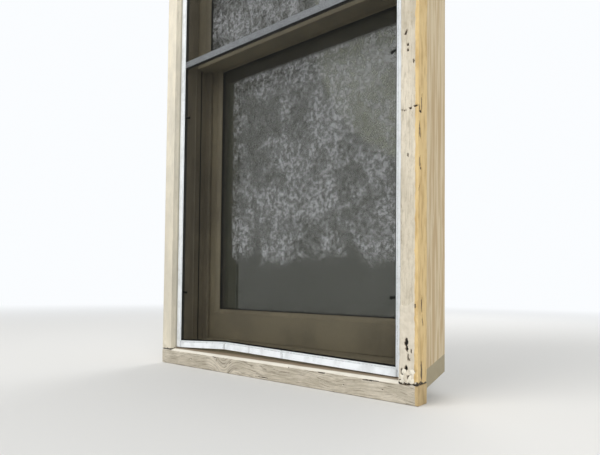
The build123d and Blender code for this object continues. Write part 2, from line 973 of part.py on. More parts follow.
def make_lock_cam():
    """Crescent cam and finger lever of the sash lock, unlocked."""
    with BuildPart() as cam:
        with BuildSketch(Plane((0, lock_pivot, cam_low))):
            with BuildLine():
                low_angle = cam_rest_angle - cam_half_angle
                high_angle = cam_rest_angle + cam_half_angle
                Line((0, 0), turned(low_angle, cam_radius))
                ThreePointArc(
                    turned(low_angle, cam_radius),
                    turned(cam_rest_angle, cam_radius),
                    turned(high_angle, cam_radius),
                )
                Line(turned(high_angle, cam_radius), (0, 0))
            make_face()
            Circle(cam_hub_radius)
            direction = cam_rest_angle + lever_angle
            with Locations(turned(direction, lever_length / 2)):
                Rectangle(lever_length, lever_width, rotation=direction)
            with Locations(turned(direction, lever_length)):
                Circle(lever_tip_radius)
            Circle(lock_pin_radius + lock_pin_play, mode=Mode.SUBTRACT)
        extrude(amount=cam_thickness)
        with BuildSketch(Plane((0, lock_pivot, cam_high))):
            with Locations(turned(cam_rest_angle + lever_angle, lever_length)):
                Circle(lever_tip_radius)
        extrude(amount=cam_thickness, taper=15)
    return cam


def make_lock_keeper():
    """Keeper on the upper sash: a plate with a hooked lip over the cam's path."""
    lip_low = cam_high + keeper_lip_gap
    with BuildPart() as keeper:
        with BuildSketch(Plane.YZ):
            with BuildLine():
                Polyline(
                    (keeper_front, meeting_top),
                    (keeper_back, meeting_top),
                    (keeper_back, meeting_top + keeper_plate_thickness),
                    (keeper_front + keeper_wall, meeting_top + keeper_plate_thickness),
                    (keeper_front + keeper_wall, lip_low),
                    (keeper_back - keeper_wall, lip_low),
                    (keeper_back - keeper_wall, lip_low + keeper_plate_thickness),
                    (keeper_front, lip_low + keeper_plate_thickness),
                    close=True,
                )
            make_face()
        extrude(amount=keeper_length / 2, both=True)
        edge = keeper.edges().filter_by(Axis.X).group_by(Axis.Z)[-1].sort_by(Axis.Y)[0]
        fillet(edge, keeper_plate_thickness)
        drill_screws(keeper_screw_places())
    return keeper


def make_screws(places):
    """Pan-head screws of the lock or of the keeper."""
    with BuildPart() as screws:
        for place in places:
            peg(place, (0, 0, -1), lock_screw_radius, lock_screw_length)
            peg(place, (0, 0, 1), lock_screw_head, lock_screw_head_height)
    return screws


def make_sash_lifts():
    """Two hooked finger lifts on the lower sash's room face."""
    low = lower_bottom + lift_rise
    hook_radius = lift_reach / 2
    with BuildPart() as lifts:
        with BuildSketch(Plane.YZ) as profile:
            with BuildLine():
                Line((lower_back, low), (lower_back, low + lift_height))
                Line((lower_back, low + lift_height), (lower_back + lift_plate, low + lift_height))
                Line(
                    (lower_back + lift_plate, low + lift_height),
                    (lower_back + lift_plate, low + lift_plate),
                )
                Line(
                    (lower_back + lift_plate, low + lift_plate),
                    (lower_back + hook_radius, low + lift_plate),
                )
                ThreePointArc(
                    (lower_back + hook_radius, low + lift_plate),
                    (lower_back + lift_reach - 2 * lift_plate, low + hook_radius / 2),
                    (lower_back + lift_reach - lift_plate, low + hook_radius + lift_plate),
                )
                Line(
                    (lower_back + lift_reach - lift_plate, low + hook_radius + lift_plate),
                    (lower_back + lift_reach, low + hook_radius + lift_plate),
                )
                ThreePointArc(
                    (lower_back + lift_reach, low + hook_radius + lift_plate),
                    (lower_back + lift_reach - lift_plate, low + lift_plate),
                    (lower_back + hook_radius, low),
                )
                Line((lower_back + hook_radius, low), (lower_back, low))
            make_face()
        for side in (-1, 1):
            middle = Vector(side * lift_spacing / 2, 0, 0)
            with Locations(Location(middle)):
                add(Solid.extrude(profile.sketch.face(), Vector(lift_length / 2, 0, 0)))
                add(Solid.extrude(profile.sketch.face(), Vector(-lift_length / 2, 0, 0)))
    return lifts


# Screen: its outer edge keeps the play to the casings, and its foot stands on the sill
screen_half = half_opening - screen_play
screen_sight = screen_half - screen_bar
screen_low = sill_height(stop_front) + strip_gap
screen_high = head_height - screen_play
groove_outer = screen_bar - screen_lip
groove_inner = groove_outer - screen_groove
mesh_back = screen_front + lip_drop
mesh_front = mesh_back - mesh_thickness


def screen_section(plane, grooved=True):
    """Section of a rolled screen bar: outer edge to inner edge, and front to back."""
    inner_wall = groove_inner - screen_wall
    floor = screen_groove + screen_wall
    with BuildSketch(plane) as section:
        Rectangle(screen_bar, screen_thickness, align=(Align.MIN, Align.MIN))
        if grooved:
            with Locations((groove_inner, 0)):
                Rectangle(
                    screen_groove,
                    screen_groove,
                    align=(Align.MIN, Align.MIN),
                    mode=Mode.SUBTRACT,
                )
            with Locations((groove_outer, 0)):
                Rectangle(
                    screen_lip,
                    lip_drop,
                    align=(Align.MIN, Align.MIN),
                    mode=Mode.SUBTRACT,
                )
            with BuildLine():
                Polyline(
                    (screen_wall, screen_wall),
                    (inner_wall, screen_wall),
                    (inner_wall, floor),
                    (screen_bar - screen_wall, floor),
                    (screen_bar - screen_wall, screen_thickness - screen_wall),
                    (screen_wall, screen_thickness - screen_wall),
                    close=True,
                )
            make_face(mode=Mode.SUBTRACT)
        else:
            with Locations((screen_bar / 2, screen_thickness / 2)):
                Rectangle(
                    screen_bar - 2 * screen_wall,
                    screen_thickness - 2 * screen_wall,
                    mode=Mode.SUBTRACT,
                )
    return section.sketch


def make_screen_stile():
    """Right-hand upright of the screen, its lip notched where the spline turns the corners."""
    with BuildPart() as stile:
        plane = Plane(
            origin=(screen_half, screen_front, screen_low),
            x_dir=(-1, 0, 0),
            z_dir=(0, 0, -1),
        )
        extrude(screen_section(plane), amount=-(screen_high - screen_low))
        corners = (
            (screen_low + groove_inner - key_play, screen_low + groove_outer + key_play),
            (screen_high - groove_outer, screen_high - groove_inner),
        )
        for z_low, z_high in corners:
            block(
                screen_sight,
                screen_sight + screen_lip,
                screen_front,
                screen_front + screen_groove,
                z_low,
                z_high,
                mode=Mode.SUBTRACT,
            )
    return stile


def make_screen_top_rail():
    """Top bar of the screen, between the uprights."""
    with BuildPart() as rail:
        plane = Plane(
            origin=(-screen_sight, screen_front, screen_high),
            x_dir=(0, 0, -1),
            z_dir=(1, 0, 0),
        )
        extrude(screen_section(plane), amount=2 * screen_sight)
    return rail


def kink_line(height):
    """A line along the bent bottom bar, at a height above the screen's foot."""
    return (
        (-screen_sight, screen_low + height),
        (kink_offset, screen_low + kink_rise + height),
        (screen_sight, screen_low + height),
    )


def make_screen_bottom_rail():
    """Bottom bar of the screen, bent upwards off the sill at a kink."""
    points = kink_line(0)
    with BuildPart() as rail:
        for start, end in ((points[1], points[0]), (points[1], points[2])):
            run = Vector(end[0] - start[0], 0, end[1] - start[1])
            to_left = run.X < 0
            up = Vector(0, 1, 0).cross(run.normalized()) * (-1 if to_left else 1)
            up = up if up.Z > 0 else up * -1
            normal = up.cross(Vector(0, 1, 0))
            origin = Vector(start[0], screen_front, start[1])
            plane = Plane(origin=origin, x_dir=up, z_dir=normal)
            signed = run.dot(normal)
            overrun = screen_bar * kink_rise / run.length
            length = signed + math.copysign(overrun, signed)
            with BuildPart(mode=Mode.PRIVATE) as half:
                extrude(screen_section(plane), amount=length)
                extrude(screen_section(plane), amount=-math.copysign(overrun, signed))
                bisector = kink_bisector(points)
                keep = Keep.BOTTOM if to_left else Keep.TOP
                split(bisect_by=bisector, keep=keep)
            add(half.part)
        for side in (-1, 1):
            block(
                side * screen_sight,
                side * screen_half,
                screen_front - 1,
                stop_front + 1,
                screen_low - 2 * kink_rise,
                screen_low + 2 * screen_bar,
                mode=Mode.SUBTRACT,
            )
    return rail


def kink_bisector(points):
    """Mitre plane at the kink, looking to the right."""
    left = Vector(points[1][0] - points[0][0], 0, points[1][1] - points[0][1]).normalized()
    right = Vector(points[2][0] - points[1][0], 0, points[2][1] - points[1][1]).normalized()
    return Plane(
        origin=(points[1][0], screen_front, points[1][1]),
        x_dir=(0, 1, 0),
        z_dir=left + right,
    )


def make_screen_crossbar():
    """Plain bar across the screen, behind the mesh at the meeting rails."""
    with BuildPart() as crossbar:
        plane = Plane(
            origin=(screen_sight, mesh_back, crossbar_height),
            x_dir=(0, 0, 1),
            z_dir=(-1, 0, 0),
        )
        extrude(screen_section(plane, grooved=False), amount=2 * screen_sight)
        split(bisect_by=Plane(origin=(0, stop_front, 0), z_dir=(0, -1, 0)), keep=Keep.TOP)
    return crossbar


def make_corner_keys():
    """Angle keys inside the screen's four corners."""
    y_low = screen_front + screen_groove + screen_wall + key_play
    y_high = stop_front - screen_wall - key_play
    margin = screen_wall + key_play
    width = screen_bar - 2 * margin
    with BuildPart() as keys:
        for side in (-1, 1):
            for foot, up in ((screen_low, 1), (screen_high, -1)):
                outer = side * (screen_half - margin)
                inner = side * (screen_half - margin - width)
                base = foot + up * margin
                block(outer, inner, y_low, y_high, base, base + up * (width + key_leg))
    return keys


def mesh_outline(inset):
    """Outline of the mesh from the front, inside the bars by an inset."""
    half = screen_half - inset
    low_left, low_kink, low_right = kink_line(inset)
    return (
        (-half, low_left[1]),
        low_kink,
        (half, low_right[1]),
        (half, screen_high - inset),
        (-half, screen_high - inset),
    )


def make_screen_mesh():
    """Insect mesh, stretched in front of the inner lips and the crossbar."""
    with BuildPart() as mesh:
        with BuildSketch(Plane.XZ.offset(-mesh_front)):
            with BuildLine():
                Polyline(*mesh_outline(groove_outer), close=True)
            make_face()
        extrude(amount=-mesh_thickness)
    return mesh


def make_screen_spline():
    """Spline pressed into the groove round the screen, which holds the mesh."""
    with BuildPart() as spline:
        with BuildSketch(Plane.XZ.offset(-(screen_front + screen_groove - spline_depth))):
            with BuildLine():
                Polyline(*mesh_outline(groove_inner + spline_play), close=True)
            make_face()
            with BuildLine():
                Polyline(*mesh_outline(groove_outer - spline_play), close=True)
            make_face(mode=Mode.SUBTRACT)
        extrude(amount=-spline_depth)
    return spline


def make_pull_tabs():
    """Four thin tabs on the uprights' inner edges, for pulling the screen out."""
    tab_y = mesh_back + tab_thickness
    with BuildPart() as tabs:
        for side in (-1, 1):
            for height in tab_heights:
                with BuildSketch(Plane.XZ.offset(-tab_y)) as grip:
                    with Locations((side * (screen_sight - tab_length / 2), height)):
                        Rectangle(tab_length, tab_width)
                    fillet(grip.vertices().group_by(Axis.X)[0 if side > 0 else -1], tab_width / 3)
                extrude(grip.sketch, amount=-tab_thickness)
                block(
                    side * (screen_sight - tab_thickness),
                    side * screen_sight,
                    tab_y,
                    tab_y + tab_foot,
                    height - tab_width / 2,
                    height + tab_width / 2,
                )
    return tabs


def make_casing_nails():
    """Finish nails through the casing into the jambs, their heads set below the face."""
    with BuildPart() as nails:
        for x, z in nail_places():
            peg((x, casing_front + nail_set, z), (0, 1, 0), nail_head_radius, nail_head_length)
            peg((x, casing_front + nail_set, z), (0, 1, 0), nail_radius, nail_length)
    return nails


def make_jamb_screws():
    """Countersunk screws through the sill and the head jamb into the side jambs."""
    with BuildPart() as screws:
        for origin, direction in screw_places():
            peg(origin, direction, screw_head_radius, screw_head_radius)
            peg(origin, direction, screw_radius, screw_length)
    return screws


write(make_sill(), "sill")
write_pair(make_side_casing(), "casing")
write(make_head_casing(), "head_casing")
write(make_casing_nails(), "casing_nails")
write_pair(make_side_jamb(), "jamb")
write(make_head_jamb(), "head_jamb")
write(make_jamb_screws(), "jamb_screws")
write_pair(make_side_blind_stop(), "blind_stop")
write(make_head_blind_stop(), "head_blind_stop")
write_pair(make_jamb_liner(), "jamb_liner")
write(make_head_parting_stop(), "head_parting_stop")
write_pair(make_inner_stop(), "inner_stop")
write(make_head_inner_stop(), "head_inner_stop")

write_pair(make_screen_stile(), "screen_stile")
write(make_screen_top_rail(), "screen_top_rail")
write(make_screen_bottom_rail(), "screen_bottom_rail")
write(make_screen_crossbar(), "screen_crossbar")
write(make_corner_keys(), "screen_corner_keys")
write(make_screen_mesh(), "screen_mesh")
write(make_screen_spline(), "screen_spline")
write(make_pull_tabs(), "screen_pull_tabs")

outer_middle, inner_middle = track_middles()
write(make_balance_tubes(outer_middle, upper_tube_low), "upper_balance_tubes")
write(make_balance_tubes(inner_middle, lower_tube_low), "lower_balance_tubes")
write(make_balance_screws(), "balance_screws")
write(make_balance_rods(outer_middle, upper_shoe, upper_rod_top), "upper_balance_rods")
write(make_balance_rods(inner_middle, lower_shoe, lower_rod_top), "lower_balance_rods")
write(make_balance_shoes(outer_middle, upper_shoe), "upper_balance_shoes")
write(make_balance_shoes(inner_middle, lower_shoe), "lower_balance_shoes")

upper_rails = (
    tenon_span(meeting_height, meeting_top, upper_sight_low, False),
    tenon_span(upper_sight_high, upper_top, upper_sight_high, True),
)
upper_stile = make_stile(
    upper_front,
    meeting_height,
    upper_top,
    upper_sight_low,
    upper_sight_high,
    upper_rails,
    upper_shoe,
)
write(upper_stile, "upper_right_stile")
write(mirrored(upper_stile), "upper_left_stile")
write(make_upper_meeting_rail(), "upper_meeting_rail")
write(make_upper_top_rail(), "upper_top_rail")

lower_rails = (
    tenon_span(lower_bottom, lower_sight_low, lower_sight_low, False),
    tenon_span(meeting_height, meeting_top, lower_sight_high, True),
)
with BuildPart() as lower_stile:
    add(
        make_stile(
            lower_front,
            lower_bottom,
            meeting_top,
            lower_sight_low,
            lower_sight_high,
            lower_rails,
            lower_shoe,
        ).part
    )
    cut_sash_foot()
write(lower_stile, "lower_right_stile")
write(mirrored(lower_stile), "lower_left_stile")
write(make_lower_bottom_rail(), "lower_bottom_rail")
write(make_lower_meeting_rail(), "lower_meeting_rail")

sashes = (
    ("upper", upper_front, upper_sight_low, upper_sight_high),
    ("lower", lower_front, lower_sight_low, lower_sight_high),
)
for sash, front, low, high in sashes:
    write(make_glass(front, low, high), f"{sash}_glass")
    write(make_spacer(front, low, high), f"{sash}_glass_spacer")
    write(make_gasket(front, low, high), f"{sash}_glazing_gasket")
    write(make_glazing_beads(front, low, high), f"{sash}_glazing_beads")

write(make_top_strip(), "head_weatherstrip")
write(make_meeting_strip(), "meeting_weatherstrip")
write(make_bottom_strip(), "sill_weatherstrip")
write(make_lock_base(), "lock_base")
write(make_lock_cam(), "lock_cam")
write(make_lock_keeper(), "lock_keeper")
write(make_screws(lock_screw_places()), "lock_screws")
write(make_screws(keeper_screw_places()), "keeper_screws")
write(make_sash_lifts(), "sash_lifts")
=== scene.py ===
import math

import bmesh
import bpy
from mathutils import Matrix, Vector, noise


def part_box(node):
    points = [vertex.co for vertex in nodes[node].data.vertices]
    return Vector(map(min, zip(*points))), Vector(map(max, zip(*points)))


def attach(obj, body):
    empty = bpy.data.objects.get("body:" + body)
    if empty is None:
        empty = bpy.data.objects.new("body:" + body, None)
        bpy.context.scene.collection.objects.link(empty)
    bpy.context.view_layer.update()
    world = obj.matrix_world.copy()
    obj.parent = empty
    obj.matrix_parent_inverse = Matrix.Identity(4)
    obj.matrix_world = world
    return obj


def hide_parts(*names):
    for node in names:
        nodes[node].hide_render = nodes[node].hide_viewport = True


# Looks of a double-hung sash window: weathered painted casing and sill, bronze sashes behind an insect
# screen. Metres, in the frame of the CAD: X across the window, Y into the room, Z up from the underside of
# the sill's nose.
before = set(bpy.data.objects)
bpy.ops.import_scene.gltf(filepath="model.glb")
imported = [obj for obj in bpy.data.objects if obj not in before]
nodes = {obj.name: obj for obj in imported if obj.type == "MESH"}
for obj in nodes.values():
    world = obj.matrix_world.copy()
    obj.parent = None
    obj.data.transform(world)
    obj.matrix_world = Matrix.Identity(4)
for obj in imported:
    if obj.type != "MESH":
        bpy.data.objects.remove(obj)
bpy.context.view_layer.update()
MM = 0.001

# Casing and sill, read from the frame: the casing's front, its opening's and its own half width, its foot
casing_low, casing_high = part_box("right_casing")
front = casing_low.y
opening = casing_low.x
outer = casing_high.x
nose_top = casing_low.z

# Insect screen: half width of its opening, the crossbar, and the bottom rail's top with its upward bend
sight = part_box("right_screen_stile")[0].x
bar_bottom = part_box("screen_crossbar")[0].z
KINK_X = -0.158
KINK_RISE = 0.010
rail_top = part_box("screen_bottom_rail")[1].z - KINK_RISE


def srgb(red, green, blue):
    """A paint colour from its 0 to 255 values, as the shader wants it."""
    steps = [c / 255 for c in (red, green, blue)]
    return tuple(c / 12.92 if c <= 0.04045 else ((c + 0.055) / 1.055) ** 2.4 for c in steps) + (1.0,)


# Cream paint, what the weather has done to it, and the painted shade in the reveal's corner, in the foot's
# joint and at the bottoms of cracks
CREAM = srgb(233, 224, 203)
CHALK = srgb(212, 205, 188)
WORN_CREAM = srgb(217, 208, 190)
WORN_CHALK = srgb(184, 175, 156)
GRIME = srgb(150, 138, 116)
RUST_SPECK = srgb(184, 150, 96)
RUN_OFF = srgb(170, 160, 141)
SPLASHED = srgb(178, 168, 146)
CORNER_SHADE = srgb(142, 134, 116)
JOINT_DIRT_AND_SHADE = srgb(44, 38, 29)
BARE_WOOD = srgb(112, 98, 80)
CRACK_SHADE = srgb(26, 22, 18)
TAN_PAINT = srgb(214, 187, 134)
TAN_PAINT_DARK = srgb(184, 153, 100)

# Filler: where it is painted over, on its own, and the painted shade in its hollows
FILLED_PATCH = srgb(216, 207, 190)
FILLER = srgb(244, 238, 222)
FILLER_CHALK = srgb(226, 218, 200)
FILLER_GAP_SHADE = srgb(40, 35, 27)

# Sill: the worn nose with its grain and knot, the fresher slope, dirt and painted shade in front of the
# screen, the right end
NOSE = srgb(208, 199, 182)
NOSE_DARK = srgb(184, 175, 157)
GRAIN_LINE = srgb(124, 115, 99)
KNOT_LINE = srgb(92, 83, 68)
GREY_BAND = srgb(150, 141, 124)
SLOPE = srgb(238, 232, 218)
SLOPE_DULL = srgb(206, 198, 182)
GUTTER_DIRT_AND_SHADE = srgb(112, 92, 64)
SILL_TAN = srgb(192, 168, 124)
SILL_TAN_DARK = srgb(160, 136, 94)

# Sashes, stops and liners
BRONZE = srgb(171, 160, 132)
BRONZE_DARK = srgb(148, 138, 115)
LINER_BROWN = srgb(146, 136, 114)
LINER_DARK = srgb(124, 116, 98)
STOP_BROWN = srgb(138, 129, 110)
PALE_DUST = srgb(150, 142, 124)
# Painted shade in the liners' channels and on the sides of the stiles' rebates
CHANNEL_SHADE = srgb(30, 29, 26)
REBATE_SHADE = srgb(36, 35, 31)

# Insect screen: enamel, the metal where it is scuffed, scratched and knocked, painted shade on the inner
# sides and under the crossbar, cloth
WHITE_ENAMEL = srgb(238, 242, 245)
WHITE_ENAMEL_DULL = srgb(214, 218, 220)
GREY_ENAMEL = srgb(188, 192, 196)
GREY_ENAMEL_DULL = srgb(166, 170, 173)
SCUFFED = srgb(128, 126, 120)
SCRATCHED = srgb(150, 150, 148)
KNOCKED = srgb(150, 152, 154)
INNER_SIDE_SHADE = srgb(70, 70, 66)
UNDERSIDE_SHADE = srgb(40, 38, 34)
CLOTH_BLACK = srgb(30, 30, 28)

# Panes: glass, its tint where it is clean, the film on it, whose bluish white is dust and a painted
# reflection, and the painted shadow on the glass
GLASS = srgb(140, 146, 144)
CLEAN_TINT = srgb(148, 150, 138)
FILM_AND_REFLECTION_WHITE = srgb(250, 252, 255)
SHADOW_TINT = srgb(92, 92, 84)

# Pine of the jambs, and the painted shade in the liners' channels
PINE = srgb(202, 184, 150)
PINE_LIGHT = srgb(208, 192, 160)
PINE_RING = srgb(184, 160, 122)
PINE_FIBRE = srgb(150, 126, 92)
PINE_CHANNEL_SHADE = srgb(50, 44, 36)


class Finish:
    """A material and its nodes, with short names for the textures that the paints use."""

    def __init__(self, name, colour, roughness=0.5, **sockets):
        self.material = bpy.data.materials.new(name)
        self.material.use_nodes = True
        self.tree = self.material.node_tree
        self.shader = self.tree.nodes["Principled BSDF"]
        self.shader.inputs["Base Color"].default_value = colour
        self.shader.inputs["Roughness"].default_value = roughness
        for label, value in sockets.items():
            self.shader.inputs[label.replace("_", " ")].default_value = value
        self.place = self.tree.nodes.new("ShaderNodeTexCoord").outputs["Object"]

    def node(self, kind, settings=(), **inputs):
        """A new node; an input is named by its socket or, with an underscore, by its number."""
        made = self.tree.nodes.new("ShaderNode" + kind)
        for name, value in settings:
            setattr(made, name, value)
        for name, value in inputs.items():
            socket = made.inputs[int(name[1:]) if name[1:].isdigit() else name.replace("_", " ")]
            if hasattr(value, "is_output"):
                self.tree.links.new(value, socket)
            else:
                socket.default_value = value
        return made

    def scaled(self, scale):
        """Places stretched along the axes, for textures that run along the grain."""
        return self.node("Mapping", Vector=self.place, Scale=scale).outputs[0]

    def cloud(self, vector, scale, detail=4.0, roughness=0.55, distortion=0.0):
        made = self.node(
            "TexNoise", Vector=vector, Scale=scale, Detail=detail, Roughness=roughness, Distortion=distortion
        )
        return made.outputs[0]

    def window(self, value, low, high, to_low=0.0, to_high=1.0):
        """to_low below low, to_high above high, smooth between."""
        made = self.node("MapRange", [("clamp", True), ("interpolation_type", "SMOOTHSTEP")], Value=value)
        for name, number in (("From Min", low), ("From Max", high), ("To Min", to_low), ("To Max", to_high)):
            made.inputs[name].default_value = number
        return made.outputs[0]

    def math(self, operation, a, b=0.0, c=0.0):
        return self.node("Math", [("operation", operation)], _0=a, _1=b, _2=c).outputs[0]

    def from_middle(self):
        """Distance to either side of the window's middle."""
        return self.math("ABSOLUTE", self.axis(0))

    def mix(self, factor, a, b):
        """Colour a where factor is 0, colour b where it is 1."""
        return self.node("Mix", [("data_type", "RGBA")], _0=factor, _6=a, _7=b).outputs[2]

    def attribute(self, name):
        return self.node("Attribute", [("attribute_name", name)]).outputs["Fac"]

    def colour(self, value):
        self.tree.links.new(value, self.shader.inputs["Base Color"])

    def gloss(self, value):
        self.tree.links.new(value, self.shader.inputs["Roughness"])

    def bump(self, height, distance, strength=1.0):
        made = self.node("Bump", Height=height, Distance=distance, Strength=strength)
        self.tree.links.new(made.outputs[0], self.shader.inputs["Normal"])

    def axis(self, index):
        """X, Y or Z of the place, as 0, 1 or 2."""
        return self.node("SeparateXYZ", Vector=self.place).outputs[index]


def chalked_cream(name, wear, fresh=CREAM, chalk=CHALK):
    """Cream exterior paint, chalked and stained; wear says how far it has gone."""
    paint = Finish(name, fresh, 0.62)
    broad = paint.cloud(paint.scaled((1, 1, 0.35)), 14, 5)
    fine = paint.cloud(paint.scaled((1, 1, 0.25)), 160, 5, 0.7)
    streak = paint.cloud(paint.scaled((1, 1, 0.04)), 420, 3, 0.6)
    tone = paint.mix(paint.window(broad, 0.38, 0.62), fresh, chalk)
    tone = paint.mix(paint.window(fine, 0.46, 0.74, 0.0, 0.8 * wear), tone, GRIME)
    speck = paint.cloud(paint.scaled((1, 1, 0.6)), 900, 2)
    tone = paint.mix(paint.window(speck, 0.64, 0.72, 0.0, wear), tone, RUST_SPECK)
    tone = paint.mix(paint.window(streak, 0.46, 0.68, 0.0, 0.55 * wear), tone, RUN_OFF)
    low_down = paint.window(paint.axis(2), 0.3, 0.62, 0.12 + 0.18 * wear, 0.0)
    tone = paint.mix(low_down, tone, SPLASHED)
    return paint, tone, streak, fine


def tan_edge(paint, tone, limit, light=TAN_PAINT, dark=TAN_PAINT_DARK):
    """Tan overpaint: on the right end from limit on, and on the left end's own face."""
    wander = paint.cloud(paint.scaled((0.3, 0.3, 1)), 60, 3)
    reach = paint.math("MULTIPLY_ADD", wander, 5 * MM, limit - 2.5 * MM)
    over = paint.math("GREATER_THAN", paint.axis(0), reach)
    left_end = paint.math("LESS_THAN", paint.axis(0), 0.3 * MM - outer)
    over = paint.math("MAXIMUM", over, left_end)
    streak = paint.cloud(paint.scaled((1, 1, 0.2)), 110, 4)
    return paint.mix(over, tone, paint.mix(paint.window(streak, 0.4, 0.75), light, dark))


def open_wood(paint, tone):
    """Grey wood in the open cracks and holes, black at their bottoms as painted shade."""
    depth = paint.attribute("bare")
    tone = paint.mix(paint.window(depth, 0.12, 0.4), tone, BARE_WOOD)
    # Painted shade: black where the cracks and holes are deepest
    return paint.mix(paint.window(depth, 0.4, 0.75), tone, CRACK_SHADE)


def foot_joint(paint, tone):
    """Dirt and painted shade in the open joint between a casing's foot and the sill, ragged along its upper
    edge.
    """
    ragged = paint.cloud(paint.scaled((1, 1, 0.2)), 190, 3)
    above = paint.math("SUBTRACT", paint.axis(2), paint.math("MULTIPLY", ragged, 14 * MM))
    # Dirt and painted shade: a dark ragged band just above the sill
    joint = paint.window(above, nose_top - 3.8 * MM, nose_top - 2.0 * MM, 1.0, 0.0)
    return paint.mix(joint, tone, JOINT_DIRT_AND_SHADE)


def clean_casing_paint():
    """Sound paint of the left and head casings, with painted shade in the corner of the reveal beside the
    screen.
    """
    paint, tone, streak, _ = chalked_cream("cream casing paint", 0.25)
    reveal = paint.math("LESS_THAN", paint.from_middle(), opening + 1.0 * MM)
    # Painted shade: the reveal darkens towards the screen's frame
    corner = paint.math("MULTIPLY", reveal, paint.window(paint.axis(1), -25 * MM, -18 * MM, 0.0, 0.75))
    tone = paint.mix(corner, tone, CORNER_SHADE)
    tone = tan_edge(paint, foot_joint(paint, tone), outer - 0.4 * MM)
    paint.colour(open_wood(paint, tone))
    paint.bump(streak, 0.25 * MM, 0.6)
    return paint.material


def worn_casing_paint():
    """Chalked and flaked paint of the right casing, with paler filler towards its foot."""
    paint, tone, streak, fine = chalked_cream("weathered casing paint", 0.95, WORN_CREAM, WORN_CHALK)
    patch = paint.window(paint.attribute("filler"), 0.2, 0.8)
    tone = paint.mix(paint.math("MULTIPLY", patch, 0.6), tone, FILLED_PATCH)
    tone = foot_joint(paint, tan_edge(paint, tone, outer - 7 * MM))
    paint.colour(open_wood(paint, tone))
    paint.bump(paint.math("ADD", streak, fine), 0.5 * MM, 0.8)
    return paint.material


def filler_paint():
    """Old filler at the foot, paler than the paint around it, with painted shade in its hollows."""
    paint, tone, _, fine = chalked_cream("foot filler", 0.3, FILLER, FILLER_CHALK)
    # Painted shade where the lumps sink back towards the casing's face
    hollow = paint.window(paint.axis(1), front - 1.9 * MM, front - 0.7 * MM, 0.0, 0.95)
    paint.colour(paint.mix(hollow, tone, FILLER_GAP_SHADE))
    paint.bump(fine, 0.5 * MM, 0.8)
    return paint.material


# The knot figure in the sill's nose: where the grain dips, how far and how wide
KNOT_X = -0.139
KNOT_DIP = 0.024
KNOT_WIDTH = 0.029


def weathered_sill_paint():
    """Paint worn down to the grain on the nose, fresher on the slope."""
    paint = Finish("weathered sill paint", CHALK, 0.7)
    aside = paint.math("DIVIDE", paint.math("SUBTRACT", paint.axis(0), KNOT_X), KNOT_WIDTH)
    bell = paint.math("EXPONENT", paint.math("MULTIPLY", paint.math("MULTIPLY", aside, aside), -1.0))
    sway = paint.math("MULTIPLY", paint.cloud(paint.scaled((1, 1, 1)), 7, 2), 0.03)
    lift = paint.math("ADD", paint.axis(2), paint.math("MULTIPLY_ADD", bell, KNOT_DIP, sway))
    run = paint.math("MULTIPLY", paint.axis(0), 0.035)
    grain_place = paint.node("CombineXYZ", X=run, Y=paint.axis(1), Z=lift).outputs[0]
    grain = paint.cloud(grain_place, 640, 4, 0.65)
    wide = paint.cloud(grain_place, 150, 3, 0.5)
    blotch = paint.cloud(paint.scaled((0.5, 1, 1)), 36, 5, 0.6)
    facing = paint.node("NewGeometry").outputs["Normal"]
    upward = paint.window(paint.node("SeparateXYZ", Vector=facing).outputs[2], 0.35, 0.8)
    worn = paint.mix(paint.window(blotch, 0.35, 0.65), NOSE, NOSE_DARK)
    worn = paint.mix(paint.window(grain, 0.52, 0.64, 0.0, 0.66), worn, GRAIN_LINE)
    ring = paint.math("FRACT", paint.math("MULTIPLY", paint.cloud(grain_place, 95, 1, 0.4), 13.0))
    near_knot = paint.window(bell, 0.1, 0.6, 0.5, 1.0)
    line = paint.math("MULTIPLY", paint.window(ring, 0.34, 0.1), near_knot)
    worn = paint.mix(line, worn, KNOT_LINE)
    worn = paint.mix(paint.window(wide, 0.6, 0.8, 0.0, 0.45), worn, GREY_BAND)
    fresh = paint.mix(paint.window(blotch, 0.45, 0.75, 0.0, 0.5), SLOPE, SLOPE_DULL)
    tone = paint.mix(upward, worn, fresh)
    # Dirt and painted shade on the slope just in front of the screen's bottom rail
    gutter = paint.math("MULTIPLY", upward, paint.window(paint.axis(1), -27 * MM, -22 * MM, 0.0, 0.85))
    tone = paint.mix(gutter, tone, GUTTER_DIRT_AND_SHADE)
    behind = paint.window(paint.axis(1), -10 * MM, -8 * MM)
    tone = paint.mix(behind, tone, paint.mix(blotch, BRONZE, BRONZE_DARK))
    tone = tan_edge(paint, tone, outer - 6 * MM, SILL_TAN, SILL_TAN_DARK)
    paint.colour(open_wood(paint, tone))
    paint.bump(paint.math("ADD", grain, paint.math("MULTIPLY", wide, 0.6)), 0.7 * MM, 0.8)
    return paint.material


def bronze_paint(name, light, dark, roughness=0.42, hollow=0.0, rebate=0.0):
    """Bronze sash paint with faint brush marks and a dusting.

    It is painted black as shade further from the middle than hollow, in a channel, and nearer to it than
    rebate, on the rebate's side, where these are given.
    """
    paint = Finish(name, light, roughness)
    broad = paint.cloud(paint.place, 9, 4)
    brush = paint.cloud(paint.scaled((0.12, 1, 0.12)), 300, 3)
    dust = paint.cloud(paint.place, 70, 6, 0.7)
    tone = paint.mix(paint.window(broad, 0.35, 0.7), light, dark)
    tone = paint.mix(paint.window(dust, 0.5, 0.8, 0.0, 0.25), tone, PALE_DUST)
    if hollow:
        inside = paint.math("GREATER_THAN", paint.from_middle(), hollow)
        tone = paint.mix(inside, tone, CHANNEL_SHADE)
    if rebate:
        inside = paint.math("LESS_THAN", paint.from_middle(), rebate)
        tone = paint.mix(inside, tone, REBATE_SHADE)
    paint.colour(tone)
    paint.gloss(paint.window(dust, 0.3, 0.8, roughness - 0.08, roughness + 0.2))
    paint.bump(brush, 0.1 * MM, 0.5)
    return paint.material


